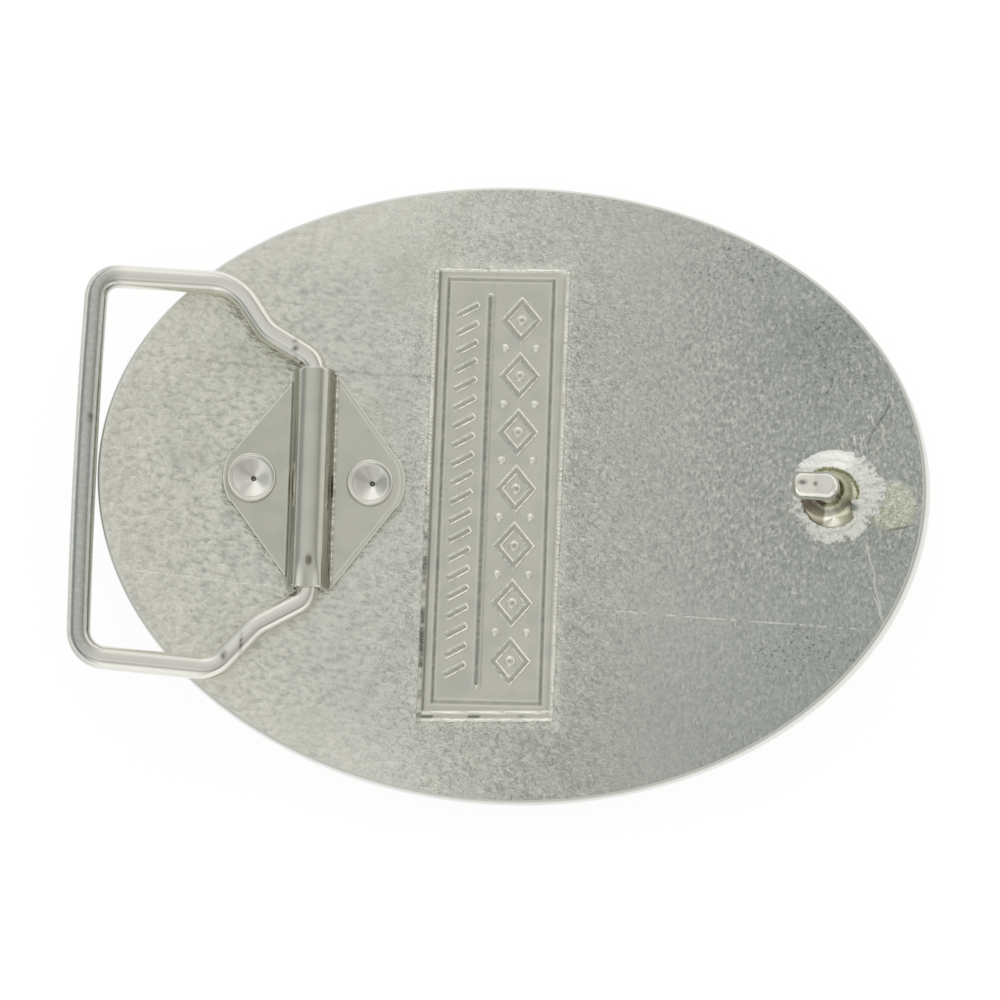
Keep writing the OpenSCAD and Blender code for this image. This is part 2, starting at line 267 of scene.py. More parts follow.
class BackFace:
    """The plate's bowed back face. Places lie along the bow, across the plate and above the face, in mm."""

    def __init__(self, plate):
        self.radius = plate.bow_radius
        self.axis_height = plate.bow_radius + plate.thickness
        self.middle = (plate_low.x + plate_high.x) / MM / 2

    def points(self, along, across, height):
        turn = along / self.radius
        distance = self.radius - height
        x = self.middle + distance * np.sin(turn)
        z = self.axis_height - distance * np.cos(turn)
        return np.stack(np.broadcast_arrays(x, across, z), axis=-1).reshape(-1, 3)

    def stand(self, along, across, turn=0.0):
        """Matrix from a fitting's own space, with Z square to the face, to the buckle's space."""
        spot = Vector(self.points(along, across, 0.0)[0])
        lean = Matrix.Rotation(-along / self.radius, 4, "Y")
        return Matrix.Translation(spot) @ lean @ Matrix.Rotation(turn, 4, "Z")


def placed(points, matrix):
    m = np.array(matrix)
    return points @ m[:3, :3].T + m[:3, 3]


def grid_faces(rows, columns, closed=False, looped=False):
    """Quads of a grid of points, row by row.

    A closed grid joins each row's end to its start, and a looped one joins its last row to its first.
    """
    r, c = np.meshgrid(
        np.arange(rows if looped else rows - 1), np.arange(columns if closed else columns - 1), indexing="ij"
    )
    here = r * columns
    above = (r + 1) % rows * columns
    beside = (c + 1) % columns
    quads = np.stack([here + c, here + beside, above + beside, above + c], axis=-1)
    return quads.reshape(-1, 4).tolist()


def tube_faces(rows, columns):
    """Quads of a grid that is closed to a tube, with a cap over each end."""
    last = (rows - 1) * columns
    caps = [list(range(columns))[::-1], list(range(last, last + columns))]
    return grid_faces(rows, columns, closed=True) + caps


def clean(mesh, unit):
    """Joins points that lie very close, and turns all faces outwards. The unit is the size of one mm."""
    edit = bmesh.new()
    edit.from_mesh(mesh)
    bmesh.ops.remove_doubles(edit, verts=edit.verts, dist=WELD * unit)
    bmesh.ops.recalc_face_normals(edit, faces=edit.faces)
    edit.to_mesh(mesh)
    edit.free()


def add_piece(name, body, nodes, slot, materials, points, faces, paint, face_slots=None):
    """Makes a smooth closed mesh from points in mm, gives it its body and finish, and hides the named CAD
    nodes.

    The paint holds a value from 0 to 1 for each of the first points, under a name that the materials read.
    """
    mesh = bpy.data.meshes.new(name)
    mesh.from_pydata((points * MM).tolist(), [], faces)
    for layer, values in paint.items():
        full = np.zeros(len(points))
        full[:values.size] = np.clip(values, 0, 1).reshape(-1)
        mesh.attributes.new(layer, "FLOAT", "POINT").data.foreach_set("value", full)
    if face_slots is not None:
        mesh.polygons.foreach_set("material_index", face_slots)
    for material in materials:
        mesh.materials.append(material)
    clean(mesh, MM)
    mesh.shade_smooth()
    mesh.set_sharp_from_angle(angle=math.radians(SHARP))
    piece = bpy.data.objects.new(name, mesh)
    bpy.context.scene.collection.objects.link(piece)
    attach(piece, body)
    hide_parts(*nodes)


def dense_rows(rows, step):
    """The same outline with no part longer than a step."""
    result = [rows[0]]
    for start, end in zip(rows, rows[1:]):
        parts = max(1, math.ceil(math.dist(start, end) / step))
        for i in range(1, parts + 1):
            t = i / parts
            result.append((start[0] + (end[0] - start[0]) * t, start[1] + (end[1] - start[1]) * t))
    return result


def lathe(rows, segments):
    """Points and faces of turned rows of radius and height."""
    rows = np.array(rows, float)
    turn = np.linspace(0, 2 * math.pi, segments, endpoint=False)
    x = rows[:, :1] * np.cos(turn)
    y = rows[:, :1] * np.sin(turn)
    points = np.stack(np.broadcast_arrays(x, y, rows[:, 1:]), axis=-1).reshape(-1, 3)
    return points, tube_faces(len(rows), segments)


def panel_middle(panel, across):
    """The panel's middle along the bow at places across the plate: the panel stands slightly askew."""
    lean = -0.005
    return panel.along + lean * across


def cast_height(plate, along, across):
    """Lumps of the cast back, in mm."""
    wide = noise_field(along / 7.0, across / 7.0, 11)
    middle = noise_field((along + 0.4 * across) / 1.5, (across - 0.4 * along) / 2.1, 12)
    fine = noise_field(along / 0.95, across / 0.95, 13)
    return plate.cast_lump * (0.9 * wide + 0.7 * middle + 0.5 * fine)


def plate_mesh(plate, panel):
    """The plate: a lumpy back that dips under the panel, a rounded wall and a plain smooth front.

    Its paint is a painted highlight by the rim at the bail's end and round the panel.
    """
    face = BackFace(plate)
    rows = plate.rows
    columns = plate.columns
    u, v = np.meshgrid(np.linspace(-1, 1, columns), np.linspace(-1, 1, rows))
    round_x = u * np.sqrt(1 - v * v / 2)
    round_y = v * np.sqrt(1 - u * u / 2)
    along = round_x * (plate.half_length - plate.back_edge)
    along -= plate.upright_end * smooth_step(0.3, 1.0, -round_x)
    across = round_y * (plate.half_width - plate.back_edge)
    from_edge = (1 - np.hypot(round_x, round_y)) * plate.half_width
    height = cast_height(plate, along, across) * smooth_step(0, 0.8, from_edge)
    beside = panel.width / 2 - abs(along - panel_middle(panel, across))
    inside = np.minimum(beside, panel.height / 2 - abs(across - panel.across))
    dip = 0.4
    height -= dip * smooth_step(0.15, 0.9, inside)
    # Painted highlight: the back is painted lighter near the rim at the bail's end, and in a band round the
    # panel
    by_rim = smooth_step(7.5, 0.5, from_edge) * smooth_step(2.0, -16.0, along)
    by_panel = smooth_step(-1.5, -0.3, inside)
    halo = by_panel * (0.7 + 0.3 * noise_field(along / 0.8, across / 0.8, 19))
    wear_and_highlight = np.maximum(0.65 * by_rim, halo)

    index = np.arange(rows * columns).reshape(rows, columns)
    rim = np.concatenate([index[0, :-1], index[:-1, -1], index[-1, :0:-1], index[:0:-1, 0]])
    rim_x = round_x.reshape(-1)[rim]
    rim_y = round_y.reshape(-1)[rim]
    quarter = np.linspace(0, math.pi / 2, 5)[1:]
    wall_end = plate.front_edge - plate.thickness
    rings = [(plate.back_edge * (1 - math.sin(t)), -plate.back_edge * (1 - math.cos(t))) for t in quarter]
    rings += [(0.0, wall_end * step) for step in (0.4, 0.7, 1.0)]
    front = plate.front_edge
    rings += [(front * (1 - math.cos(t)), wall_end - front * math.sin(t)) for t in quarter]
    points = [face.points(along, across, height)]
    for inset, depth in rings:
        lean = plate.upright_end * max(0.0, 1 - depth / wall_end) * smooth_step(0.3, 1.0, -rim_x)
        x = rim_x * (plate.half_length - inset) - lean
        points.append(face.points(x, rim_y * (plate.half_width - inset), depth))
    front_rings = 14
    for step in range(1, front_rings):
        scale = 1 - step / front_rings
        x = rim_x * (plate.half_length - plate.front_edge) * scale
        y = rim_y * (plate.half_width - plate.front_edge) * scale
        points.append(face.points(x, y, -plate.thickness))
    points.append(face.points(0.0, 0.0, -plate.thickness))

    around = len(rim)
    first = rows * columns
    last = first + (len(rings) + front_rings - 2) * around
    tip = last + around
    ring = np.arange(around)
    after = np.roll(ring, -1)
    faces = grid_faces(rows, columns)
    face_slots = [0] * len(faces)
    faces += np.stack([rim, rim[after], first + after, first + ring], axis=-1).tolist()
    faces += (first + np.array(grid_faces(len(rings) + front_rings - 1, around, closed=True))).tolist()
    faces += [[last + i, last + (i + 1) % around, tip] for i in range(around)]
    face_slots += [1] * (len(faces) - len(face_slots))
    return np.concatenate(points), faces, {"wear_and_highlight": wear_and_highlight}, face_slots


def panel_border(panel, p, q):
    """Height, painted highlight and painted shade of the beaded border, which is struck double at the near
    end.

    The real border runs out on both sides: towards the hook at the far end, and a little towards the bail.
    """
    end_slope = np.where(q > 0, 0.01, 0.025)
    from_end = abs(q - end_slope * p) - panel.height / 2 - np.where(q > 0, 0.0, 0.25)
    run_out = np.where(p > 0, 0.34 + 0.007 * q, 0.3)
    from_side = abs(p) - panel.width / 2 - run_out
    from_edge = np.maximum(from_side, from_end)
    on_side = smooth_step(-0.7, -0.3, from_side)
    pitch = 0.44 + 0.05 * noise_field(q / 4.0, 0.0, 28)
    dots = 0.5 + 0.5 * np.cos(2 * math.pi * (q + 0.25 * noise_field(q, p / 2, 26)) / pitch)
    lumps = noise_field(p / 0.6, q / 0.6, 23)
    faint = smooth_step(-0.6, 0.5, noise_field(q / 2.2, np.sign(p) * 3, 29))
    bead = ridge(from_edge + panel.bead / 2, panel.bead * 1.25)
    crest = np.maximum(bead, on_side * ridge(from_side + 0.3, 0.7))
    height = panel.relief * crest * (1 + 0.3 * lumps) * (1 - 0.5 * on_side * (1 - dots))
    # Painted highlight on the bead's crests, in blobs down the right and at the upper right corner
    wear_and_highlight = crest * (1 - on_side * (0.15 + 0.6 * (1 - dots) * faint))
    blobs = smooth_step(0.15, 0.55, lumps) * np.where(p > 0, on_side, 0.0) * smooth_step(-4.0, -12.0, q)
    corner = bell(p - 7.2, q - 24.6, 0.5, 0.5)
    wear_and_highlight = np.maximum(np.maximum(wear_and_highlight, crest * blobs), corner)
    height += 0.1 * corner

    near = np.where(q < 0, from_end, -9.0)
    broken = smooth_step(-0.45, -0.1, noise_field(p / 1.3, 0.0, 25))
    # A second bead at the near end takes painted highlight, and the gully beside it painted shade
    second = ridge(near + 1.02, 0.42)
    gully = ridge(near + 0.6, 0.4) * broken * smooth_step(0.2, 0.5, -from_side)
    height = np.maximum(height, panel.relief * second) - 0.3 * gully
    wear_and_highlight = np.maximum(wear_and_highlight, second)
    # Painted shadow in the line beside the border's sides, far stronger on the left
    groove = ridge(from_side + 0.62, 0.4) * smooth_step(-24.6, -24.0, q) * smooth_step(24.9, 24.3, q)
    grime_and_shade = np.maximum(gully, groove * np.where(p < 0, 0.9, 0.25))

    # Painted shadow over the lower left of the border, which also dims its painted highlight there
    low_left = smooth_step(2.0, -6.0, q) * np.where(p < 0, on_side, 0.0)
    grime_and_shade = np.maximum(grime_and_shade, 0.9 * low_left * smooth_step(-0.5, 0.4, lumps))
    wear_and_highlight = wear_and_highlight * (1 - 0.7 * low_left)
    height += 0.12 * low_left * noise_field(p / 0.35, q / 0.45, 27)
    return from_edge, height, wear_and_highlight, grime_and_shade


def panel_ornament(panel, x, y, slanted_x):
    """One on the lozenges, studs and slanted bars, and nought beside them."""
    soft = 0.15
    shapes = []
    for i in range(panel.lozenges):
        up = y - (i - (panel.lozenges - 1) / 2) * panel.lozenge_pitch
        shapes.append(lozenge_mask(x, up, 2.2, 2.6, soft) * (1 - lozenge_mask(x, up, 1.45, 1.7, soft)))
        shapes.append(dome(x, up, 0.55))
    for i in range(panel.lozenges - 1):
        up = y - (i - (panel.lozenges - 2) / 2) * panel.lozenge_pitch
        shapes += [0.8 * dome(x - side * 1.7, up, 0.42) for side in (-1, 1)]
    slant = math.radians(30)
    for i in range(panel.bars):
        up = y - (i - (panel.bars - 1) / 2) * panel.bar_pitch
        run = slanted_x * math.cos(slant) + up * math.sin(slant)
        rise = up * math.cos(slant) - slanted_x * math.sin(slant)
        shapes.append(box_mask(run, rise, 1.3, 0.3, soft))
    return reduce(np.maximum, shapes)


def panel_relief(panel, p, q):
    """Heights of the panel in mm above the face, and how much painted highlight and painted shade each place
    has, from 0 to 1.
    """
    from_edge, height, wear_and_highlight, grime_and_shade = panel_border(panel, p, q)
    ground = 0.012 * noise_field(p / 1.3, q / 1.3, 21) + 0.008 * noise_field(p / 0.45, q / 0.45, 22)

    y = q - panel.near_margin / 2
    half_width = panel.width / 2 - panel.inset
    half_height = (panel.height - panel.near_margin) / 2 - panel.inset
    from_frame = np.maximum(abs(p) - half_width, abs(y) - half_height)
    field = 0.14 * smooth_step(-0.04, -0.28, from_frame)
    at_end = smooth_step(-0.6, 0.0, abs(y) - half_height) * smooth_step(0.0, -0.4, abs(p) - half_width)
    lip = ridge(from_frame + 0.42, 0.3) * (0.35 + 0.65 * at_end)
    outer_lip = ridge(from_frame - 0.2, 0.3) * (0.4 + 0.4 * at_end)
    height = np.maximum(height, 0.05 + ground + field + 0.05 * (lip + outer_lip))
    # Painted highlight on the frame's lips, and painted shade in the frame's line
    wear_and_highlight = np.maximum(wear_and_highlight, 0.6 * np.maximum(lip, outer_lip))
    speckle = 0.8 + 0.2 * noise_field(p / 0.4, q / 0.35, 30)
    grime_and_shade = np.maximum(grime_and_shade, (1 - 0.55 * at_end) * ridge(from_frame + 0.1, 0.44) * speckle)

    rule = panel.rule - panel.along
    rule_half = panel.rule_length / 2
    on_rule = smooth_step(-0.1, 0.1, rule_half - abs(y))
    crest = np.maximum(0.6 * ridge(p - rule + 0.34, 0.26), ridge(p - rule - 0.34, 0.28)) * on_rule
    foot = ridge(p - rule, 0.46) * on_rule
    tips = np.maximum(dome(p - rule, y - rule_half, 0.24), dome(p - rule, y + rule_half, 0.24))
    level = 0.19
    height = np.maximum(height, level + 0.3 * panel.relief * crest) - 0.1 * foot
    height = np.maximum(height, level + 0.6 * panel.relief * tips)
    # Painted highlight on the rule's crests and tips, and painted shade along its foot
    wear_and_highlight = np.maximum(wear_and_highlight, np.maximum(0.5 * crest, tips))
    grime_and_shade = np.maximum(grime_and_shade, 0.95 * foot * speckle) * (1 - tips)

    wide_middle = (rule + half_width) / 2
    narrow_middle = (rule - half_width) / 2
    ornament = panel_ornament(panel, p - wide_middle, y, p - narrow_middle)
    rough = 1 + 0.2 * noise_field(p / 0.4, q / 0.4, 24)
    height += panel.relief * 0.75 * ornament * rough
    # Painted highlight on the ornament's flanks, and painted shade on its tops
    wear_and_highlight = np.maximum(wear_and_highlight, 4 * ornament * (1 - ornament))
    grime_and_shade = np.maximum(grime_and_shade, 0.34 * smooth_step(0.8, 1.0, ornament))
    return np.where(from_edge > 0.02, -0.3, height), wear_and_highlight, grime_and_shade * smooth_step(0.05, -0.05, from_edge)


def panel_mesh(plate, panel):
    """The panel: a fine grid of its relief, closed by walls and a flat underside inside the plate."""
    face = BackFace(plate)
    margin = 0.62
    skew = 0.016
    half_width = panel.width / 2 + margin
    half_height = panel.height / 2 + margin + skew * half_width
    columns = round(2 * half_width / panel.grid) + 1
    rows = round(2 * half_height / panel.grid) + 1
    p = np.linspace(-half_width, half_width, columns)
    q = np.linspace(-half_height, half_height, rows)
    p, q = np.meshgrid(p, q)
    across = q + panel.across + skew * p
    along = panel_middle(panel, across) + p
    height, wear_and_highlight, grime_and_shade = panel_relief(panel, p, q)
    sides = [0, columns - 1]
    underside = -0.8
    points = np.concatenate([
        face.points(along, across, height), face.points(along[:, sides], across[:, sides], underside)
    ])
    index = np.arange(rows * columns).reshape(rows, columns)
    low = rows * columns + np.arange(2 * rows).reshape(rows, 2)
    faces = grid_faces(rows, columns)
    for r in range(rows - 1):
        faces.append([index[r, 0], index[r + 1, 0], low[r + 1, 0], low[r, 0]])
        faces.append([index[r + 1, -1], index[r, -1], low[r, 1], low[r + 1, 1]])
        faces.append([low[r, 0], low[r + 1, 0], low[r + 1, 1], low[r, 1]])
    faces.append([*index[0], low[0, 1], low[0, 0]])
    faces.append([*index[-1][::-1], low[-1, 0], low[-1, 1]])
    return points, [[int(i) for i in f] for f in faces], {"wear_and_highlight": wear_and_highlight, "grime_and_shade": grime_and_shade}


def flange_reach(reach, half, radius, v):
    """Reach of a flange from the sleeve's middle line at places along the sleeve."""
    corner = reach + radius * (math.sqrt(1 + (reach / half) ** 2) - 1)
    straight = corner * (1 - abs(v) / half)
    start = reach - radius + radius * half / math.hypot(half, reach)
    bend = reach - radius + np.sqrt(np.clip(radius ** 2 - v * v, 0, None))
    return np.where(straight > start, bend, straight)


def bracket_mesh(plate, bracket, bail):
    """The bracket's sheet: two flanges that follow the bow and a rolled sleeve between them.

    Its paint is painted highlight along its edges and crimped mouth, and painted shade along the sleeve's
    feet and in its punch mark.
    """
    face = BackFace(plate)
    gap = 0.05
    top = gap + bracket.sheet
    wire = bail.wire / 2
    axis = wire + WIRE_LIFT
    bore = wire + BORE_GAP
    outer = bore + bracket.sheet
    half = bracket.sleeve_length / 2
    bevel = 0.16
    end_trim = 0.12
    v = np.concatenate([[-half], np.linspace(end_trim - half, half - end_trim, 119), [half]])[:, None]
    trim = np.where(abs(v) > half - end_trim / 2, end_trim * 0.8, 0.0)

    def bow(u, height):
        across = u * math.cos(bracket.turn) - v * math.sin(bracket.turn)
        return face.radius - np.sqrt((face.radius - height) ** 2 - across ** 2)

    def half_section(point, half_diamond, foot):
        """Rows of one half's section, from the top of the sleeve out, round the flange's edge and back in.

        The third result is the distance in from the flange's edge.
        """
        reach = flange_reach(point, half_diamond, bracket.point_radius, v)
        flanged = abs(v) < half - 0.2
        limit = np.where(flanged, np.maximum(reach, outer + 0.01), outer + 0.01)
        edge = np.maximum(limit, outer + foot + bevel)
        up = np.radians(np.linspace(90, 8, 16))
        down = np.radians(np.linspace(84, 0, 8))
        round_off = np.radians(np.linspace(15, 90, 6))
        out = np.concatenate([np.linspace(0, 0.85, 20), np.linspace(0.85, 1, 9)[1:]])[1:]
        foot_u = np.ones_like(v) * (outer + foot - foot * np.sin(down))
        foot_w = top + foot - foot * np.cos(down) + bow(foot_u, 0)
        flange_u = outer + foot + (edge - bevel - outer - foot) * out
        from_rivet = np.hypot(flange_u - bracket.rivet_offset, v - bracket.rivet_across)
        flange_w = bow(flange_u, top) - 0.8 * smooth_step(1.6, 1.15, from_rivet)
        bevel_u = edge - bevel + bevel * np.sin(round_off)
        bevel_w = bow(bevel_u, top) - bevel * (1 - np.cos(round_off))
        under_u = edge - 0.05 - (edge - 0.05 - bore) * np.linspace(0, 1, 8)
        wall = np.radians(np.linspace(0, 90, 12))
        parts = [
            ((outer - trim) * np.cos(up), axis + (outer - trim) * np.sin(up)),
            (foot_u, foot_w),
            (flange_u, flange_w),
            (bevel_u, bevel_w),
            (under_u, bow(under_u, gap)),
            ((bore + trim) * np.cos(wall), axis + (bore + trim) * np.sin(wall)),
        ]
        u, w = (np.concatenate(part, axis=1) for part in zip(*parts))
        return np.minimum(u, limit), w, (edge - u) * flanged

    right = half_section(bracket.point_right, bracket.half_right, bracket.foot_radius)
    left = half_section(bracket.point_left, bracket.half_left, 0.5 * bracket.foot_radius)
    u, w, inwards = (
        np.concatenate([one[:, :-1], side * other[:, :0:-1]], axis=1)
        for one, other, side in zip(right, left, (-1, 1, 1))
    )
    along = np.broadcast_to(v, u.shape)

    outside = smooth_step(bore + 0.2, bore + 0.4, np.hypot(u, w - axis))
    crown = smooth_step(axis, axis + 1.2, w) * outside
    crimp = smooth_step(-half + 3.3, -half + 0.2, along) * np.clip(1 - abs(u + 0.05) / 1.25, 0, 1)
    w = w - crown * (0.4 * crimp + 0.3 * bell(u - 0.05, along + 9.2, 0.24, 0.45))
    points = np.stack([u, along, w], axis=-1).reshape(-1, 3)

    # Painted shade along both feet of the sleeve and in the punch mark, and a painted highlight in teeth
    # along the right foot
    left_foot = ridge((u + 2.2) / 0.5, 1.0)
    right_foot = smooth_step(1.5, 1.9, u) * smooth_step(2.7, 2.4, u)
    teeth = ridge((u - 2.58) / 0.32, 1.0) * smooth_step(0.0, 0.5, noise_field(along / 0.22, 0.0, 41))
    hole = np.clip(3 * bell(u - 0.05, along + 9.2, 0.24, 0.42), 0, 1)
    grime_and_shade = np.maximum(np.maximum(0.4 * left_foot, 0.6 * right_foot), hole)
    # Painted highlight in a V at the crimped mouth, and in lines along the flanges' edges
    mouth = smooth_step(-half + 3.2, -half + 0.5, along) * ridge((abs(u + 0.1) - 0.9) / 0.8, 1.0)
    on_edge = ridge(inwards - 0.12, 0.26) * (inwards > 0)
    inner_line = ridge(inwards - 0.62, 0.24) * (u > 2.9) * (inwards > 0)
    wear_and_highlight = reduce(np.maximum, [teeth, 0.8 * mouth, 0.8 * on_edge, 0.5 * inner_line])
    shown = w > top - 0.05
    wear_and_highlight = np.where(shown, wear_and_highlight, 0.0)
    grime_and_shade = np.where(shown, grime_and_shade * (1 - wear_and_highlight), 0.0)
    stand = face.stand(bracket.along, bracket.across, bracket.turn)
    return placed(points, stand), tube_faces(*u.shape), {"grime_and_shade": grime_and_shade, "wear_and_highlight": wear_and_highlight}


def rivet_mesh(plate, bracket, side, head):
    """A spun rivet: a thin raised ring round a conical dish, whose pit lies a little off its middle.

    Its paint is painted shade in the pit and on one side of the ring.
    """
    under = 1.0
    top = under + 0.75
    rows = [
        (0.0, -1.6), (1.45, -1.6), (1.5, -1.55), (1.5, under),
        (head - 0.1, under), (head - 0.02, under + 0.06), (head, under + 0.2), (head - 0.03, under + 0.42),
        (head - 0.06, top - 0.12), (head - 0.13, top - 0.03), (head - 0.22, top), (head - 0.32, top - 0.04),
        (head - 0.4, top - 0.13), (head - 0.46, top - 0.16), (head - 0.54, top - 0.15),
        (head - 0.65, top - 0.19), (0.26, top - 1.02), (0.2, top - 1.16), (0.12, top - 1.3),
        (0.0, top - 1.34),
    ]
    points, faces = lathe(dense_rows(rows, 0.12), 96)
    x, y, z = points.T
    reach = np.hypot(x, y)
    dish = (reach < head - 0.4) & (((reach < 1.4) & (z > -1.0)) | (z > under + 0.05))
    # Painted shade in the pit, and on the ring's side towards the hook and upwards
    grime_and_shade = np.where(dish, 0.7 * smooth_step(0.36, 0.24, reach), 0.0)
    stained_and_shaded = smooth_step(0.3, 0.9, np.cos(np.arctan2(y, x) - math.radians(35)))
    stained_and_shaded = stained_and_shaded * ridge((reach - head + 0.46) / 0.3, 1.0)
    grime_and_shade = np.maximum(grime_and_shade, np.where(z > under + 0.3, 0.35 * stained_and_shaded, 0.0))
    off_middle = 0.3
    points[:, 0] += np.where(dish, off_middle * smooth_step(head - 0.4, 0.0, reach), 0.0)
    offset = side * bracket.rivet_offset
    along = bracket.along + offset * math.cos(bracket.turn)
    across = bracket.across + bracket.rivet_across + offset * math.sin(bracket.turn)
    return placed(points, BackFace(plate).stand(along, across)), faces, {"grime_and_shade": grime_and_shade}


def rounded_loop(corners, step):
    """A closed path of straight runs and arcs, from corners that are given with their bend radius."""
    places = np.array([c[:2] for c in corners], float)
    path = []
    for i, here in enumerate(places):
        way_in = here - places[i - 1]
        way_out = places[(i + 1) % len(places)] - here
        way_in = way_in / np.linalg.norm(way_in)
        way_out = way_out / np.linalg.norm(way_out)
        radius = corners[i][2]
        side = np.sign(way_in[0] * way_out[1] - way_in[1] * way_out[0])
        turn = math.acos(np.clip(way_in @ way_out, -1, 1))
        start = here - radius * math.tan(turn / 2) * way_in
        centre = start + side * radius * np.array([-way_in[1], way_in[0]])
        steps = max(3, math.ceil(radius * turn / step))
        spoke = start - centre
        for k in range(steps + 1):
            cos = math.cos(side * turn * k / steps)
            sin = math.sin(side * turn * k / steps)
            path.append(centre + np.array([spoke[0] * cos - spoke[1] * sin, spoke[0] * sin + spoke[1] * cos]))
    full = []
    for i, here in enumerate(path):
        after = path[(i + 1) % len(path)]
        parts = max(1, math.ceil(np.linalg.norm(after - here) / step))
        full += [here + (after - here) * k / parts for k in range(parts)]
    return np.array(full)


def bail_mesh(plate, bracket, bail):
    """The bail's wire, swept round its closed path. Its paint is a few dark marks."""
    face = BackFace(plate)
    wire = bail.wire / 2
    reach = bail.bar_reach
    neck_end = bracket.sleeve_length / 2 + 1.15
    corners = [
        (0.0, neck_end, 1.9),
        (5.3, 16.1, 4.0),
        (8.85, bail.far_arm, 5.0),
        (reach, bail.far_bar_end, 2.3),
        (reach, -bail.near_bar_end, 2.8),
        (9.6, -bail.near_arm, 3.0),
        (5.3, -16.2, 4.0),
        (0.0, -neck_end, 1.9),
    ]
    path = rounded_loop(corners, 0.45)
    bow = bail.bar_bow * np.clip(1 - (path[:, 1] / bail.near_bar_end) ** 2, 0, 1)
    path[:, 0] += bow * smooth_step(reach - 3, reach, path[:, 0])
    ahead = np.roll(path, -1, axis=0) - np.roll(path, 1, axis=0)
    ahead /= np.linalg.norm(ahead, axis=1)[:, None]
    side = np.stack([-ahead[:, 1], ahead[:, 0]], axis=-1)
    segments = 40
    turn = np.linspace(0, 2 * math.pi, segments, endpoint=False)
    flat = path[:, None] + side[:, None] * (wire * np.cos(turn))[None, :, None]
    out = flat[..., 0]
    across = flat[..., 1]
    points = np.stack(np.broadcast_arrays(-out, across, wire * np.sin(turn)), axis=-1).reshape(-1, 3)
    tilt = bail.rest_angle + bracket.along / face.radius
    matrix = face.stand(bracket.along, bracket.across, bracket.turn)
    matrix = matrix @ Matrix.Translation((0, 0, wire + WIRE_LIFT)) @ Matrix.Rotation(tilt, 4, "Y")
    marks = [(8.7, -19.7, 0.28, 0.4), (6.9, -18.3, 0.12, 0.9), (reach, 5.2, 0.3, 0.3), (2.3, 14.2, 0.15, 0.9)]
    grime_and_shade = sum(bell(out - x, across - y, long, wide) for x, y, long, wide in marks)
    faces = grid_faces(len(path), segments, closed=True, looped=True)
    return placed(points, matrix), faces, {"grime_and_shade": np.minimum(grime_and_shade, 0.9)}


def cone_flare(hook):
    """Radius of the concave curve that runs from the cone's foot up to the shank."""
    step = hook.cone_radius - hook.radius
    return (hook.cone_height * hook.cone_height + step * step) / (2 * step)


def hook_parts(hook):
    """Closed meshes of the cone with its shank, the round bend and the nose, in the hook's own space."""
    radius = hook.radius
    tall = hook.cone_height
    flare = cone_flare(hook)
    profile = [(0.0, -0.5), (hook.cone_radius, -0.5)]
    for z in np.linspace(0, tall, 25):
        profile.append((radius + flare - math.sqrt(flare ** 2 - (tall - z) ** 2), z))
    profile += [(radius, hook.height), (0.0, hook.height)]
    shank = lathe(dense_rows(profile, 0.4), 96)

    root = radius + 0.08
    ball = [((root + 0.02) * math.sin(t), -(root + 0.02) * math.cos(t)) for t in np.linspace(0, math.pi, 33)]
    bend, bend_faces = lathe(ball, 64)

    end = hook.nose_end
    quarter = np.linspace(0, math.pi / 2, 13)
    tip = [(radius - end + end * math.cos(t), hook.nose + end * math.sin(t)) for t in quarter]
    nose, nose_faces = lathe([(0.0, 0.0), (root, 0.0), (radius, 1.15)] + tip, 64)
    turn = Matrix.Translation((0, 0, hook.height)) @ Matrix.Rotation(hook.nose_rise - math.pi / 2, 4, "Y")
    return [shank, (bend + [0, 0, hook.height], bend_faces), (placed(nose, turn), nose_faces)]


def fuse(parts, voxel, smoothing):
    """One smooth closed mesh from overlapping closed parts, as points in mm and faces."""
    points = []
    faces = []
    for part_points, part_faces in parts:
        faces += [[i + len(points) for i in f] for f in part_faces]
        points += part_points.tolist()
    mesh = bpy.data.meshes.new("fused")
    mesh.from_pydata(points, [], faces)
    clean(mesh, 1.0)
    blank = bpy.data.objects.new("fused", mesh)
    bpy.context.scene.collection.objects.link(blank)
    remesh = blank.modifiers.new("Fuse", "REMESH")
    remesh.mode = "VOXEL"
    remesh.voxel_size = voxel
    soften = blank.modifiers.new("Soften", "SMOOTH")
    soften.factor = 0.5
    soften.iterations = smoothing
    done = blank.evaluated_get(bpy.context.evaluated_depsgraph_get()).to_mesh()
    fused_points = np.array([v.co[:] for v in done.vertices])
    fused_faces = [list(p.vertices) for p in done.polygons]
    bpy.data.objects.remove(blank)
    bpy.data.meshes.remove(mesh)
    return fused_points, fused_faces


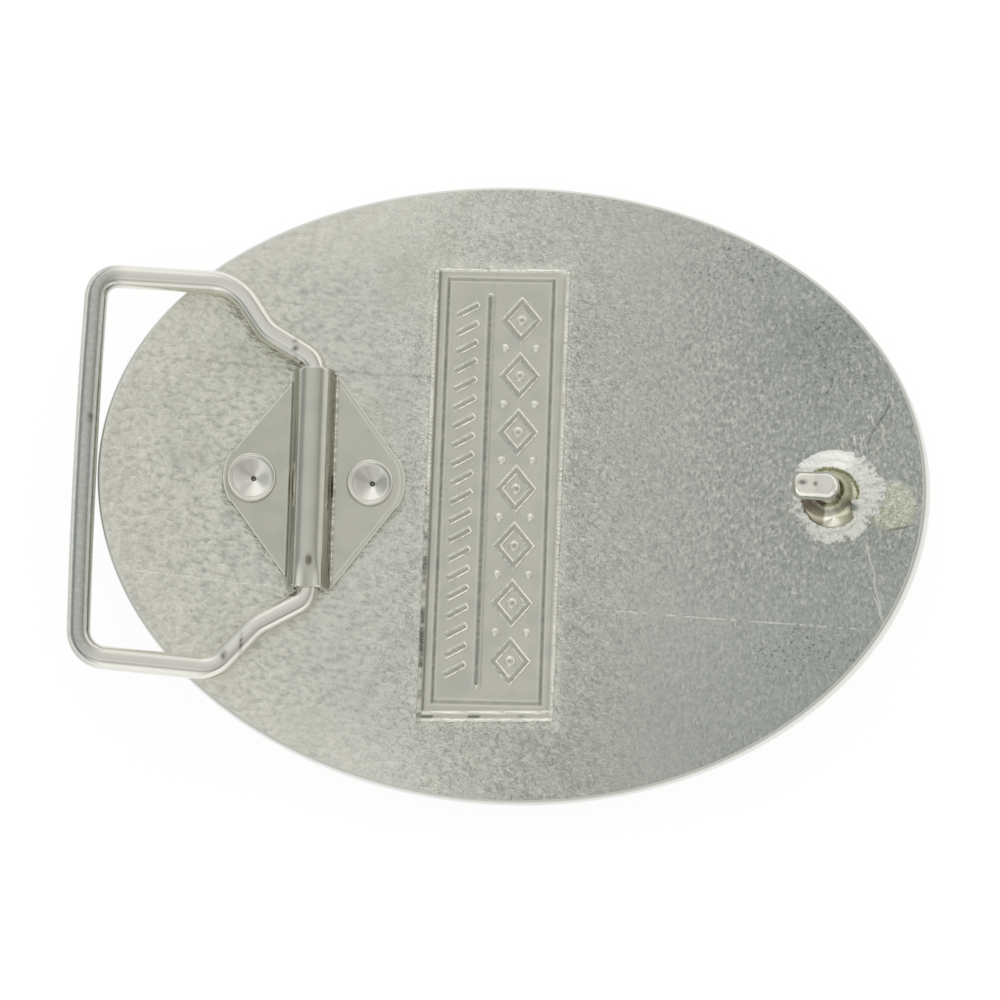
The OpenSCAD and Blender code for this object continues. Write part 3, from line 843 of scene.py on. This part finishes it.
def hook_paint(hook, points):
    """Paint of the hook, at places in its own space.

    The cone has a heat stain, with a painted brown reflection low on the side towards the bail and a painted
    highlight beside it, and the flat top has painted glints, and dots.
    """
    x, y, z = points.T
    turn = np.degrees(np.arctan2(y, x)) % 360
    reach = np.hypot(x, y)
    low = smooth_step(hook.height - 0.6, hook.height - 2.2, z)
    raised = smooth_step(hook.height + 0.4, hook.height + 0.9, z)
    # Painted reflection: a brown patch low on the cone towards the bail; painted shade in the dark pocket
    brown = smooth_step(178, 190, turn) * smooth_step(253, 249, turn) * smooth_step(0.8, 1.3, reach)
    pocket = bell(x - 2.3, y + 1.1, 0.8, 0.6)
    dots = np.exp(-((x - 0.7) ** 2 + (y - 3.4) ** 2) / 0.03)
    marks = [(-2.1, 0.1, 0.42, 0.26), (-0.8, 0.0, 0.2, 0.22), (1.2, -0.75, 0.14, 0.14)]
    for mark_x, mark_y, long, wide in marks:
        dots += raised * bell(x - mark_x, y - mark_y, long, wide)
    # Painted highlight: a light patch on the cone beside the brown one, and glints on the flat top
    light = smooth_step(253, 256, turn) * smooth_step(292, 282, turn) * smooth_step(1.2, 1.6, reach)
    glint = raised * np.maximum(bell(x + 1.7, y - 0.85, 0.55, 0.3), 0.8 * smooth_step(-0.7, -1.1, x))
    return {
        "stain": low,
        "grime_and_shade": np.maximum(0.75 * brown * low, np.minimum(1.0, 1.3 * np.maximum(pocket, dots))),
        "wear_and_highlight": np.maximum(0.6 * light * low, glint),
    }


def hook_mesh(plate, hook):
    """The hook: its cone, shank, bend and nose in one, flattened along the top of the bend and the nose."""
    points, faces = fuse(hook_parts(hook), voxel=0.1, smoothing=5)
    flat = hook.height + hook.flat_top + math.tan(hook.nose_rise) * np.clip(-points[:, 0], 0, None)
    pressed = 0.85
    points[:, 2] -= pressed * np.clip(points[:, 2] - flat, 0, None)
    stand = BackFace(plate).stand(hook.along, hook.across)
    return placed(points, stand), faces, hook_paint(hook, points)


def solder_mesh(plate, hook):
    """The ring of solder round the cone, which climbs the cone at the side away from the bail.

    It is smooth across the buckle on one side, thin towards the bail and ragged on the other two sides.
    Its paint marks the smooth side, puts painted shade in a hole and between ragged spokes, and dirties the
    thin side.
    """
    segments = 256
    rings = 44
    turn = np.linspace(0, 2 * math.pi, segments, endpoint=False)
    around = turn / (2 * math.pi) * 64

    def sector(middle, half):
        """One at an angle in degrees, and nought beyond half an opening from it."""
        off = abs((np.degrees(turn) - middle + 180) % 360 - 180)
        return smooth_step(half, 0.4 * half, off)

    smooth = sector(100, 55)
    thin = sector(185, 55)
    ragged = 0.22 * noise_field(around, 3.0, 31) + 0.24 * noise_field(around * 2, 9.0, 32)
    ragged = ragged * (1 - 0.8 * smooth) + 0.4 * sector(10, 60) - 0.25 * thin
    climb = 0.3 + 0.6 * sector(35, 100) + 0.7 * sector(-28, 20) + 0.08 * noise_field(around * 2, 5.0, 36)
    inner = hook.cone_radius - climb
    t = np.linspace(0, 1, rings)[:, None]
    reach = inner + (hook.pool_radius + ragged - inner) * t
    local_x = 0.1 + reach * np.cos(turn)
    local_y = 0.1 + reach * np.sin(turn)
    x = hook.along + local_x
    y = hook.across + local_y
    lumps = 0.16 * noise_field(x / 0.55, y / 0.55, 33) + 0.1 * noise_field(x / 0.28, y / 0.28, 34)
    lumps = lumps * (1 - 0.75 * smooth) * (1 - 0.5 * t)
    fall = 1 - smooth_step(0.35, 1.0, t)
    height = hook.pool_height * fall * (1 - 0.4 * thin) + lumps * smooth_step(0.0, 0.2, t)
    flare = cone_flare(hook)
    flank = hook.cone_height - np.sqrt(flare ** 2 - np.clip(hook.radius + flare - reach, 0, flare) ** 2)
    on_cone = flank + 0.1 - 0.14 * smooth_step(0.06, 0.0, t)
    height += np.where(reach < hook.cone_radius, on_cone, 0.1 * fall)
    height[-1] = -0.15
    hole = bell(local_x - 2.3, local_y + 1.3, 0.6, 0.4)
    height -= 0.25 * hole

    face = BackFace(plate)
    ends = [-1, 0]
    points = np.concatenate([face.points(x, y, height), face.points(x[ends], y[ends], -0.5)])
    faces = grid_faces(rings + 2, segments, closed=True, looped=True)
    # Painted shade in the hole and between the ragged spokes; the thin side is grimy
    broken = smooth_step(-0.1, 0.4, noise_field(x / 0.5, y / 0.5, 37))
    spokes = smooth_step(-0.3, 0.5, noise_field(around * 1.5, t * 1.5, 38)) * smooth_step(0.45, 0.8, t)
    grime_and_shade = reduce(np.maximum, [hole, thin * (0.05 + 0.45 * broken), 0.55 * spokes * (1 - smooth)])
    return points, faces, {"wear_and_highlight": smooth * np.ones_like(t), "grime_and_shade": grime_and_shade}


# Materials

VECTOR_MATHS = "ShaderNodeVectorMath"
# Each kind of node has its type, the inputs that its values go to, its output and its settings
NODE_KINDS = {
    "object_place": ("ShaderNodeTexCoord", (), "Object", {}),
    "direction": ("ShaderNodeTexCoord", (), "Generated", {}),
    "camera_ray": ("ShaderNodeLightPath", (), "Is Camera Ray", {}),
    "paint": ("ShaderNodeAttribute", (), "Fac", {}),
    "split": ("ShaderNodeSeparateXYZ", (0,), slice(None), {}),
    "turn": ("ShaderNodeVectorRotate", (0, "Angle"), 0, {"rotation_type": "Z_AXIS"}),
    "enlarge": (VECTOR_MATHS, (0, "Scale"), 0, {"operation": "SCALE"}),
    "scale": (VECTOR_MATHS, (0, 1), 0, {"operation": "MULTIPLY"}),
    "scale_and_move": (VECTOR_MATHS, (0, 1, 2), 0, {"operation": "MULTIPLY_ADD"}),
    "distance": (VECTOR_MATHS, (0,), 1, {"operation": "LENGTH"}),
    "along": (VECTOR_MATHS, (0, 1), 1, {"operation": "DOT_PRODUCT"}),
    "noise": ("ShaderNodeTexNoise", ("Vector", "Scale", "Detail", "Distortion"), 0, {}),
    "map": ("ShaderNodeMapRange", (0, 1, 2, 3, 4), 0, {"interpolation_type": "SMOOTHSTEP"}),
    "blend": ("ShaderNodeMix", (0, 2, 3), 0, {}),
    "colour": ("ShaderNodeMix", (0, 6, 7), 2, {"data_type": "RGBA"}),
    "bump": ("ShaderNodeBump", ("Height", "Distance", "Normal"), 0, {}),
    "ramp": ("ShaderNodeValToRGB", (0,), 0, {}),
    "light": ("ShaderNodeBackground", (0, 1), 0, {}),
    "choice": ("ShaderNodeMixShader", (0, 1, 2), 0, {}),
    "world": ("ShaderNodeOutputWorld", (0,), slice(None), {}),
}


def feed(node, socket, value):
    """Gives an input of a node a value, or links another node's output to it."""
    if isinstance(value, bpy.types.NodeSocket):
        node.id_data.links.new(value, node.inputs[socket])
    else:
        node.inputs[socket].default_value = value


def add_node(tree, kind, *values, **node_settings):
    """Adds a node with its settings and links, and gives its output.

    A kind is one of NODE_KINDS, or an operation of the maths node.
    """
    maths = ("ShaderNodeMath", (0, 1, 2), 0, {"operation": kind})
    node_type, inputs, output, fixed_settings = NODE_KINDS.get(kind, maths)
    node = tree.nodes.new(node_type)
    for name, value in {**fixed_settings, **node_settings}.items():
        setattr(node, name, value)
    for socket, value in zip(inputs, values):
        feed(node, socket, value)
    return node.outputs[output]


def new_metal(name):
    """A new material, a function that adds nodes to it, and places on the piece in mm."""
    material = bpy.data.materials.new(name)
    material.use_nodes = True
    add = partial(add_node, material.node_tree)
    return material, add, add("enlarge", add("object_place"), 1 / MM)


def surface(material, colour, roughness, normal=None):
    """Gives a material a metal surface."""
    shader = material.node_tree.nodes["Principled BSDF"]
    feed(shader, "Metallic", 1.0)
    feed(shader, "Base Color", colour)
    feed(shader, "Roughness", roughness)
    if normal is not None:
        feed(shader, "Normal", normal)
    return material


def grain(add, place, size, stretch=(1, 1, 1), turn=0, detail=2.0, twist=0.0):
    """A noise pattern whose grains have a size in mm, stretched, turned about Z in degrees and twisted."""
    turned = add("turn", place, math.radians(turn))
    stretched = add("scale", turned, [1 / (size * s) for s in stretch])
    return add("noise", stretched, 1.0, detail, twist)


def spot_mask(add, place, x, y, half_x, half_y, soft=0.5):
    """One inside an oval spot, given in mm across and along, and nought beyond it."""
    scaled = add("scale_and_move", place, (1 / half_x, 1 / half_y, 0), (-x / half_x, -y / half_y, 0))
    return add("map", add("distance", scaled), 1.0, 1 - soft)


def line_mask(add, place, start, end, width, wobble=0.0):
    """One on a line between two places in mm, and nought beside it. The wobble bends the line."""
    run = math.dist(start, end)
    ahead = ((end[0] - start[0]) / run, (end[1] - start[1]) / run, 0)
    aside = (-ahead[1], ahead[0], 0)
    past, off = (
        add("SUBTRACT", add("along", place, way), sum((start[i] + end[i]) / 2 * way[i] for i in range(2)))
        for way in (ahead, aside)
    )
    bend = add("MULTIPLY_ADD", grain(add, place, 2.5, detail=1.0), wobble, -wobble / 2)
    off = add("map", add("ABSOLUTE", add("ADD", off, bend)), width, 0.2 * width)
    return add("MULTIPLY", off, add("map", add("ABSOLUTE", past), run / 2, run / 2 - 1.5))


def layered(add, colour, layers):
    """A colour under layers, which are each given by how much of it shows and its own colour."""
    for amount, layer in layers:
        colour = add("colour", amount, colour, layer)
    return colour


def rubbed_and_lit(add, finishes, base, roughness, dirt_and_shade=0.75, stain=None):
    """Colour and roughness: a base with painted shade in grimy places and painted highlight in smoother
    scuffed ones.

    The dark places are brown unless another stain is given, and black where their paint is full.
    """
    wear_and_highlight = add("paint", attribute_name="wear_and_highlight")
    grime_and_shade = add("paint", attribute_name="grime_and_shade")
    dark = add("colour", add("map", grime_and_shade, 0.85, 1.0), stain or finishes.tarnish, finishes.pit)
    colour = layered(add, base, [(wear_and_highlight, finishes.worn), (add("MULTIPLY", grime_and_shade, dirt_and_shade), dark)])
    return colour, add("map", wear_and_highlight, 0.0, 1.0, roughness, 0.6 * roughness)


def cast_texture(add, place, x, y):
    """The mould's skin: soft low lumps by the bail, short squiggles at the middle, fine grain by the hook."""
    soft_lumps = grain(add, place, 0.62, (1.6, 0.85, 1), 10, 3.0, 0.25)
    squiggles = grain(add, place, 0.5, (1.3, 0.9, 1), 28, 2.0, 1.4)
    fine = grain(add, place, 0.42, (0.9, 1.3, 1), 8, 2.5, 0.5)
    skin = add("blend", add("map", x, -24.0, -3.0), soft_lumps, squiggles)
    skin = add("blend", add("map", x, 4.0, 26.0), skin, fine)
    near_end = add("MULTIPLY", add("map", x, 8.0, 20.0), add("map", y, -4.0, -18.0))
    depths = [
        add("map", x, -22.0, -4.0, 0.68, 1.0),
        add("map", x, 8.0, 22.0, 1.0, 0.84),
        add("map", y, 16.0, 28.0, 1.0, 0.72),
        add("map", near_end, 0.0, 1.0, 1.0, 0.62),
    ]
    off_middle = add("SUBTRACT", skin, 0.5)
    return add("ADD", add("MULTIPLY", off_middle, reduce(partial(add, "MULTIPLY"), depths)), 0.5)


def cast_metal(finishes):
    """Zinc die casting, nickel plated as cast: its rough skin breaks the sheen, with painted shade towards
    the hook.

    Casting lines, pits and a stain of flux beside the hook stand where the real plate shows them.
    """
    material, add, place = new_metal("nickel plated casting")
    pattern = partial(grain, add, place)
    spot = partial(spot_mask, add, place)
    line = partial(line_mask, add, place)
    total = partial(reduce, partial(add, "ADD"))
    x, y = add("split", place)[:2]
    skin = cast_texture(add, place, x, y)
    patches = pattern(4.0, (1, 1.3, 1), 0, 3.0, 0.5)
    # Painted shade: the plate grows darker towards the hook's end
    toward_hook = add("map", x, -34.0, 36.0, interpolation_type="LINEAR")
    # Painted highlight: lighter near the top and bottom edges on the bail's side
    edge_highlight = add("map", add("ABSOLUTE", add("ADD", y, 1.5)), 17.0, 32.0)
    edge_highlight = add("MULTIPLY", edge_highlight, add("map", x, 28.0, -8.0))
    # Painted shade: a little darker towards the bottom at the hook's end
    near_end = add("MULTIPLY", add("map", y, -8.0, -30.0, 0.0, 0.2), add("map", x, -12.0, 12.0))
    blotches = add("MULTIPLY", add("map", pattern(9.0), 0.5, 0.7, 0.0, 0.3), add("map", x, 2.0, -6.0))
    # Painted shade: darker in patches at the upper corner of the hook's end
    upper_end_shade = add("MULTIPLY", spot(35.0, 17.0, 15.0, 14.0, 0.8), add("map", patches, 0.35, 0.6, 0.04, 0.24))
    flux_spot = spot(41.6, -1.6, 3.0, 3.1, 0.35)
    flux_lumps = pattern(0.95, (1.2, 1, 1), 0, 2.0, 1.5)
    flux_veins = add("ABSOLUTE", add("SUBTRACT", flux_lumps, 0.52))
    flux_veins = add("MULTIPLY", add("map", flux_veins, 0.06, 0.0), flux_spot)

    pit_places = total([
        spot(24.5, 25.0, 7.5, 3.2),
        spot(35.5, 15.0, 6.0, 7.0),
        spot(33.5, -17.5, 8.0, 4.0),
        add("MULTIPLY", spot(-33.5, -15.5, 4.5, 2.5), 0.5),
    ])
    specks = add("map", pattern(0.34, detail=1.0), 0.62, 0.7)
    row_of_pits = line((18.6, 27.7), (27.4, 27.1), 0.3, 0.4)
    crack = line((38.5, 4.6), (42.1, 11.1), 0.16, 0.8)
    flux_edge = line((40.6, -4.3), (44.4, -3.5), 0.2, 0.4)
    seam = line((-39.2, 12.1), (-7.3, 12.1), 0.34, 1.2)
    grooves = total([
        add("MULTIPLY", specks, add("MINIMUM", pit_places, 1.0)),
        add("MULTIPLY", row_of_pits, add("map", pattern(0.5), 0.5, 0.6)),
        crack,
        flux_edge,
        add("MULTIPLY", seam, 0.34),
    ])

    hairline = total([line((10.2, -12.96), (32.3, -14.3), 0.13), line((31.0, -14.2), (39.9, -14.85), 0.13)])
    strokes = add("map", pattern(0.5, (0.7, 3.2, 1), -8, 1.5, 1.0), 0.56, 0.68)
    ridges = total([
        add("MULTIPLY", hairline, add("map", pattern(0.8, detail=1.0), 0.42, 0.5)),
        line((38.9, -4.6), (40.8, -13.8), 0.2, 0.8),
        line((39.7, -10.5), (41.4, -15.9), 0.16, 0.6),
        add("MULTIPLY", line((-40.6, -11.3), (-22.9, -12.15), 0.24, 0.6), 0.8),
        add("MULTIPLY", strokes, spot(38.8, 8.5, 5.0, 9.0)),
    ])
    colour = layered(add, finishes.cast, [
        (toward_hook, finishes.cast_cool),
        (add("map", patches, 0.4, 0.72, 0.0, 0.22), finishes.cast_cool),
        (add("map", edge_highlight, 0.0, 1.0, 0.1, 0.26, interpolation_type="LINEAR"), finishes.worn),
        # Painted shade in the hollows of the cast skin's lumps, and painted highlight on their crests
        (add("map", skin, 0.56, 0.3, 0.0, 0.55), finishes.hollow),
        (add("map", skin, 0.5, 0.72, 0.0, 0.5), finishes.worn),
        (near_end, finishes.hollow),
        (blotches, finishes.flux),
        (upper_end_shade, finishes.hollow),
        (add("MULTIPLY", flux_spot, 0.75), finishes.flux),
        (add("MULTIPLY", flux_veins, 0.9), finishes.worn),
        (add("MULTIPLY", grooves, 0.5), finishes.pit),
        (add("MULTIPLY", ridges, 0.5), finishes.worn),
        # Painted highlight from the plate's paint, by the rim and round the panel
        (add("MULTIPLY", add("paint", attribute_name="wear_and_highlight"), 0.55), finishes.worn),
    ])
    normal = add("bump", skin, 0.3 * MM)
    for relief, depth in (
        (add("MULTIPLY", pattern(0.7, (1, 7, 1)), add("map", x, 0.0, 25.0)), 0.05),
        (add("SUBTRACT", ridges, grooves), 0.05),
        (add("MULTIPLY", flux_lumps, flux_spot), 0.5),
    ):
        normal = add("bump", relief, depth * MM, normal)
    return surface(material, colour, add("map", patches, 0.3, 0.7, 0.2, 0.28), normal)


def struck_metal(finishes):
    """The panel's smooth ground, nickel plated: satin, with painted highlights on raised edges and painted
    shade in corners.
    """
    material, add, place = new_metal("nickel plated die face")
    shade = add("map", grain(add, place, 2.5, detail=3.0), 0.35, 0.7, 0.0, 0.3)
    base = add("colour", shade, finishes.struck, finishes.cast_cool)
    colour, roughness = rubbed_and_lit(add, finishes, base, 0.28, 0.85, finishes.groove)
    return surface(material, colour, roughness, add("bump", grain(add, place, 0.22), 0.025 * MM))


def buffed_metal(finishes):
    """Nickel plate over a buffed rim and front: bright, with faint wheel lines."""
    material, add, place = new_metal("buffed nickel")
    lines = grain(add, place, 0.3, (12, 1, 1))
    return surface(material, finishes.buffed, 0.16, add("bump", lines, 0.004 * MM))


def sheet_metal(finishes):
    """Cold rolled steel sheet, nickel plated: satin, with a faint rolled grain along the sleeve."""
    material, add, place = new_metal("nickel plated sheet")
    cloud = add("map", grain(add, place, 3.0), 0.35, 0.7, 0.0, 0.25)
    # The bracket's paint brings its painted highlight and painted shade
    colour, roughness = rubbed_and_lit(add, finishes, add("colour", cloud, finishes.sheet, finishes.cast_cool), 0.1)
    return surface(material, colour, roughness, add("bump", grain(add, place, 0.2, (1, 14, 1)), 0.003 * MM))


def drawn_wire(finishes):
    """Steel wire and spun rivets, nickel plated bright: a mirror, with a patchy film on the bail's bar."""
    material, add, place = new_metal("bright nickel")
    specks = grain(add, place, 0.5, detail=3.0)
    on_bar = add("map", add("split", place)[0], -41.0, -43.6, 0.0, 0.8)
    film = add("MULTIPLY", on_bar, add("map", specks, 0.3, 0.6, 0.75, 1.0))
    # The paint brings painted shade in the rivets' pits and on one side of their rings, and a few dark marks
    # on the bail
    marks = add("paint", attribute_name="grime_and_shade")
    colour = layered(add, finishes.wire, [(film, finishes.film), (marks, finishes.pit)])
    return surface(material, colour, add("map", specks, 0.3, 0.7, 0.04, 0.09))


def tin_solder(finishes):
    """Tin solder, cooled rough round the cone: almost white, smooth on one side, dirty where it is thin."""
    material, add, place = new_metal("tin solder")
    crust = grain(add, place, 0.25, detail=3.0)
    smooth = add("paint", attribute_name="wear_and_highlight")
    # Painted shade in the crust's hollows, added to what the paint brings
    dirt_and_shade = add("ADD", add("map", crust, 0.44, 0.3, 0.0, 0.5), add("paint", attribute_name="grime_and_shade"))
    dirt_and_shade = add("MINIMUM", add("MULTIPLY", dirt_and_shade, add("map", smooth, 0.0, 1.0, 1.0, 0.2)), 0.9)
    colour = add("colour", dirt_and_shade, finishes.solder, finishes.hollow)
    rough = add("MULTIPLY", crust, add("map", smooth, 0.0, 1.0, 1.0, 0.15))
    return surface(material, colour, 0.32, add("bump", rough, 0.24 * MM))


def hook_metal(finishes):
    """Turned steel, nickel plated: olive from heat low on the cone, painted glints on the nose, a painted
    brown reflection.
    """
    material, add, place = new_metal("nickel plated hook")
    stained_and_shaded = add("colour", add("paint", attribute_name="stain"), finishes.wire, finishes.cone)
    colour, roughness = rubbed_and_lit(add, finishes, stained_and_shaded, 0.12, 0.8)
    return surface(material, colour, roughness, add("bump", grain(add, place, 0.3), 0.006 * MM))


# Stage

# Brightness of the tent by the angle off overhead in degrees: to the sides, and along the other axis
SIDE_LIGHT = [
    (-180, 0.5), (-145, 0.5), (-120, 0.9), (-100, 1.05), (-88, 1.0), (-76, 0.7), (-64, 0.45), (-52, 0.43),
    (-44, 0.55), (-34, 0.74), (-20, 0.76), (-8, 0.76), (2, 0.74), (10, 0.72), (20, 0.66), (27, 0.62),
    (34, 0.58), (42, 0.47), (50, 0.45), (58, 0.62), (66, 0.82), (74, 0.8), (84, 0.6), (98, 0.42),
    (115, 0.42), (180, 0.45),
]
LENGTH_LIGHT = [
    (-180, 1.2), (-120, 1.7), (-100, 1.7), (-77, 1.45), (-62, 1.3), (-54, 0.95), (-46, 0.78), (-39, 0.8),
    (-33, 1.08), (-20, 1.0), (-8, 0.95), (11, 1.0), (30, 1.02), (45, 1.15), (58, 1.42), (75, 1.45),
    (100, 1.4), (180, 1.0),
]


def light_ramp(add, off_overhead, levels, strongest):
    """Brightness from a table of angles in degrees, as a smooth ramp."""
    shade = add("ramp", add("MULTIPLY_ADD", off_overhead, 1 / (2 * math.pi), 0.5))
    ramp = shade.node.color_ramp
    ramp.interpolation = "EASE"
    for degrees, level in levels[1:-1]:
        ramp.elements.new(degrees / 360 + 0.5)
    for element, (degrees, level) in zip(ramp.elements, levels):
        element.color = (*[level / strongest] * 3, 1.0)
    return add("MULTIPLY", shade, strongest)


def soft_studio():
    """A tent of soft light: broad overhead, with brighter strips low at the sides, and a pale backdrop."""
    world = bpy.data.worlds.new("light tent")
    world.use_nodes = True
    world.node_tree.nodes.clear()
    add = partial(add_node, world.node_tree)
    x, y, z = add("split", add("direction"))
    side = light_ramp(add, add("ARCTAN2", x, z), SIDE_LIGHT, 1.1)
    lengthways = light_ramp(add, add("ARCTAN2", y, z), LENGTH_LIGHT, 1.8)
    tint = add("colour", add("map", x, -0.6, 0.6), [0.98, 1.0, 1.0, 1.0], [1.0, 0.995, 0.97, 1.0])
    tent = add("light", tint, add("MULTIPLY", side, lengthways))
    pale = add("light", [0.9, 0.9, 0.9, 1.0], 1.0)
    add("world", add("choice", add("camera_ray"), tent, pale))
    bpy.context.scene.world = world


def paper_floor(finishes):
    """A sheet of pale paper, lit through from below so that it stays white under the buckle."""
    half = 1.5
    corners = [(x * half, y * half, 0) for x, y in ((-1, -1), (1, -1), (1, 1), (-1, 1))]
    mesh = bpy.data.meshes.new("paper")
    mesh.from_pydata(corners, [], [[0, 1, 2, 3]])
    material = bpy.data.materials.new("white paper")
    material.use_nodes = True
    shader = material.node_tree.nodes["Principled BSDF"]
    for socket, value in (
        ("Base Color", [0.3, 0.3, 0.3, 1.0]),
        ("Specular IOR Level", 0.0),
        ("Roughness", 0.9),
        ("Emission Color", finishes.paper),
        ("Emission Strength", 0.8),
    ):
        feed(shader, socket, value)
    mesh.materials.append(material)
    floor = bpy.data.objects.new("paper", mesh)
    floor.location.z = -0.02 * MM
    bpy.context.scene.collection.objects.link(floor)


def add_camera():
    """The camera is nearly over the buckle, 0.3 m above it, and looks slightly away from the near edge."""
    data = bpy.data.cameras.new("camera")
    data.sensor_width = 36.0
    data.lens = 97.2
    data.clip_start = 0.01
    roll, tip, lean = -0.041786, -0.19038, -0.035
    to_camera = Matrix.Rotation(roll, 3, "Z") @ Matrix.Rotation(tip, 3, "X") @ Matrix.Rotation(lean, 3, "Y")
    camera = bpy.data.objects.new("camera", data)
    place = Vector((9.887, -56.884, 290.977)) * MM
    camera.matrix_world = Matrix.Translation(place) @ to_camera.transposed().to_4x4()
    bpy.context.scene.collection.objects.link(camera)
    bpy.context.scene.camera = camera


# Operators


class BUCKLE_OT_plate(bpy.types.Operator):
    """Adds the cast plate with its buffed rim and plain front"""

    bl_idname = "buckle.plate"
    bl_label = "Add Plate"

    def execute(self, context):
        plate, panel, finishes = settings(context, "plate", "panel", "finishes")
        metals = [cast_metal(finishes), buffed_metal(finishes)]
        add_piece("cast_plate", "buckle", ["plate"], "cast_nickel", metals, *plate_mesh(plate, panel))
        return {"FINISHED"}


class BUCKLE_OT_panel(bpy.types.Operator):
    """Adds the bordered panel with its raised ornament"""

    bl_idname = "buckle.panel"
    bl_label = "Add Panel"

    def execute(self, context):
        plate, panel, finishes = settings(context, "plate", "panel", "finishes")
        metals = [struck_metal(finishes)]
        add_piece("ornament_panel", "buckle", ["plate"], "cast_nickel", metals, *panel_mesh(plate, panel))
        return {"FINISHED"}


class BUCKLE_OT_hook(bpy.types.Operator):
    """Adds the hook on its cone, and the solder round it"""

    bl_idname = "buckle.hook"
    bl_label = "Add Hook"

    def execute(self, context):
        plate, hook, finishes = settings(context, "plate", "hook", "finishes")
        metals = [hook_metal(finishes)]
        add_piece("hook", "buckle", ["plate"], "polished_nickel", metals, *hook_mesh(plate, hook))
        metals = [tin_solder(finishes)]
        add_piece("solder_ring", "buckle", ["plate"], "cast_nickel", metals, *solder_mesh(plate, hook))
        return {"FINISHED"}


class BUCKLE_OT_bracket(bpy.types.Operator):
    """Adds the sheet bracket with its rolled sleeve"""

    bl_idname = "buckle.bracket"
    bl_label = "Add Bracket"

    def execute(self, context):
        plate, bracket, bail, finishes = settings(context, "plate", "bracket", "bail", "finishes")
        metals = [sheet_metal(finishes)]
        mesh = bracket_mesh(plate, bracket, bail)
        add_piece("hinge_bracket", "buckle", ["bracket"], "satin_nickel", metals, *mesh)
        return {"FINISHED"}


class BUCKLE_OT_rivets(bpy.types.Operator):
    """Adds the two spun rivets"""

    bl_idname = "buckle.rivets"
    bl_label = "Add Rivets"

    def execute(self, context):
        plate, bracket, finishes = settings(context, "plate", "bracket", "finishes")
        metals = [drawn_wire(finishes)]
        for name, side, head, node in (
            ("outer_rivet", -1, bracket.rivet_left, "rivet_left"),
            ("inner_rivet", 1, bracket.rivet_right, "rivet_right"),
        ):
            mesh = rivet_mesh(plate, bracket, side, head)
            add_piece(name, "buckle", [node], "polished_nickel", metals, *mesh)
        return {"FINISHED"}


class BUCKLE_OT_bail(bpy.types.Operator):
    """Adds the wire bail that swings in the sleeve"""

    bl_idname = "buckle.bail"
    bl_label = "Add Bail"

    def execute(self, context):
        plate, bracket, bail, finishes = settings(context, "plate", "bracket", "bail", "finishes")
        metals = [drawn_wire(finishes)]
        add_piece("wire_bail", "bail", ["bail"], "polished_nickel", metals, *bail_mesh(plate, bracket, bail))
        return {"FINISHED"}


class BUCKLE_OT_stage(bpy.types.Operator):
    """Adds the paper floor, the soft light and the camera"""

    bl_idname = "buckle.stage"
    bl_label = "Add Stage"

    def execute(self, context):
        soft_studio()
        paper_floor(*settings(context, "finishes"))
        add_camera()
        context.scene.view_settings.view_transform = "Standard"
        return {"FINISHED"}


class BUCKLE_PT_sidebar(bpy.types.Panel):
    bl_idname = "BUCKLE_PT_sidebar"
    bl_label = "Western Belt Buckle"
    bl_space_type = "VIEW_3D"
    bl_region_type = "UI"
    bl_category = "Buckle"

    def draw(self, context):
        for step in STEPS:
            self.layout.operator(step.bl_idname)
        for name in SETTINGS:
            group = getattr(context.scene, name)
            box = self.layout.box()
            for field in group.__annotations__:
                box.prop(group, field)


STEPS = (
    BUCKLE_OT_plate,
    BUCKLE_OT_panel,
    BUCKLE_OT_hook,
    BUCKLE_OT_bracket,
    BUCKLE_OT_rivets,
    BUCKLE_OT_bail,
    BUCKLE_OT_stage,
)
SETTINGS = {
    "buckle_plate": PlateSizes,
    "buckle_panel": PanelSizes,
    "buckle_bracket": BracketSizes,
    "buckle_bail": BailSizes,
    "buckle_hook": HookSizes,
    "buckle_finishes": Finishes,
}
CLASSES = (*SETTINGS.values(), *STEPS, BUCKLE_PT_sidebar)


def register():
    for item in CLASSES:
        bpy.utils.register_class(item)
    for name, group in SETTINGS.items():
        setattr(bpy.types.Scene, name, PointerProperty(type=group))


def unregister():
    for name in SETTINGS:
        delattr(bpy.types.Scene, name)
    for item in reversed(CLASSES):
        bpy.utils.unregister_class(item)


def main():
    register()
    bpy.ops.buckle.plate()
    bpy.ops.buckle.panel()
    bpy.ops.buckle.hook()
    bpy.ops.buckle.bracket()
    bpy.ops.buckle.rivets()
    bpy.ops.buckle.bail()
    bpy.ops.buckle.stage()


if __name__ == "__main__":
    main()
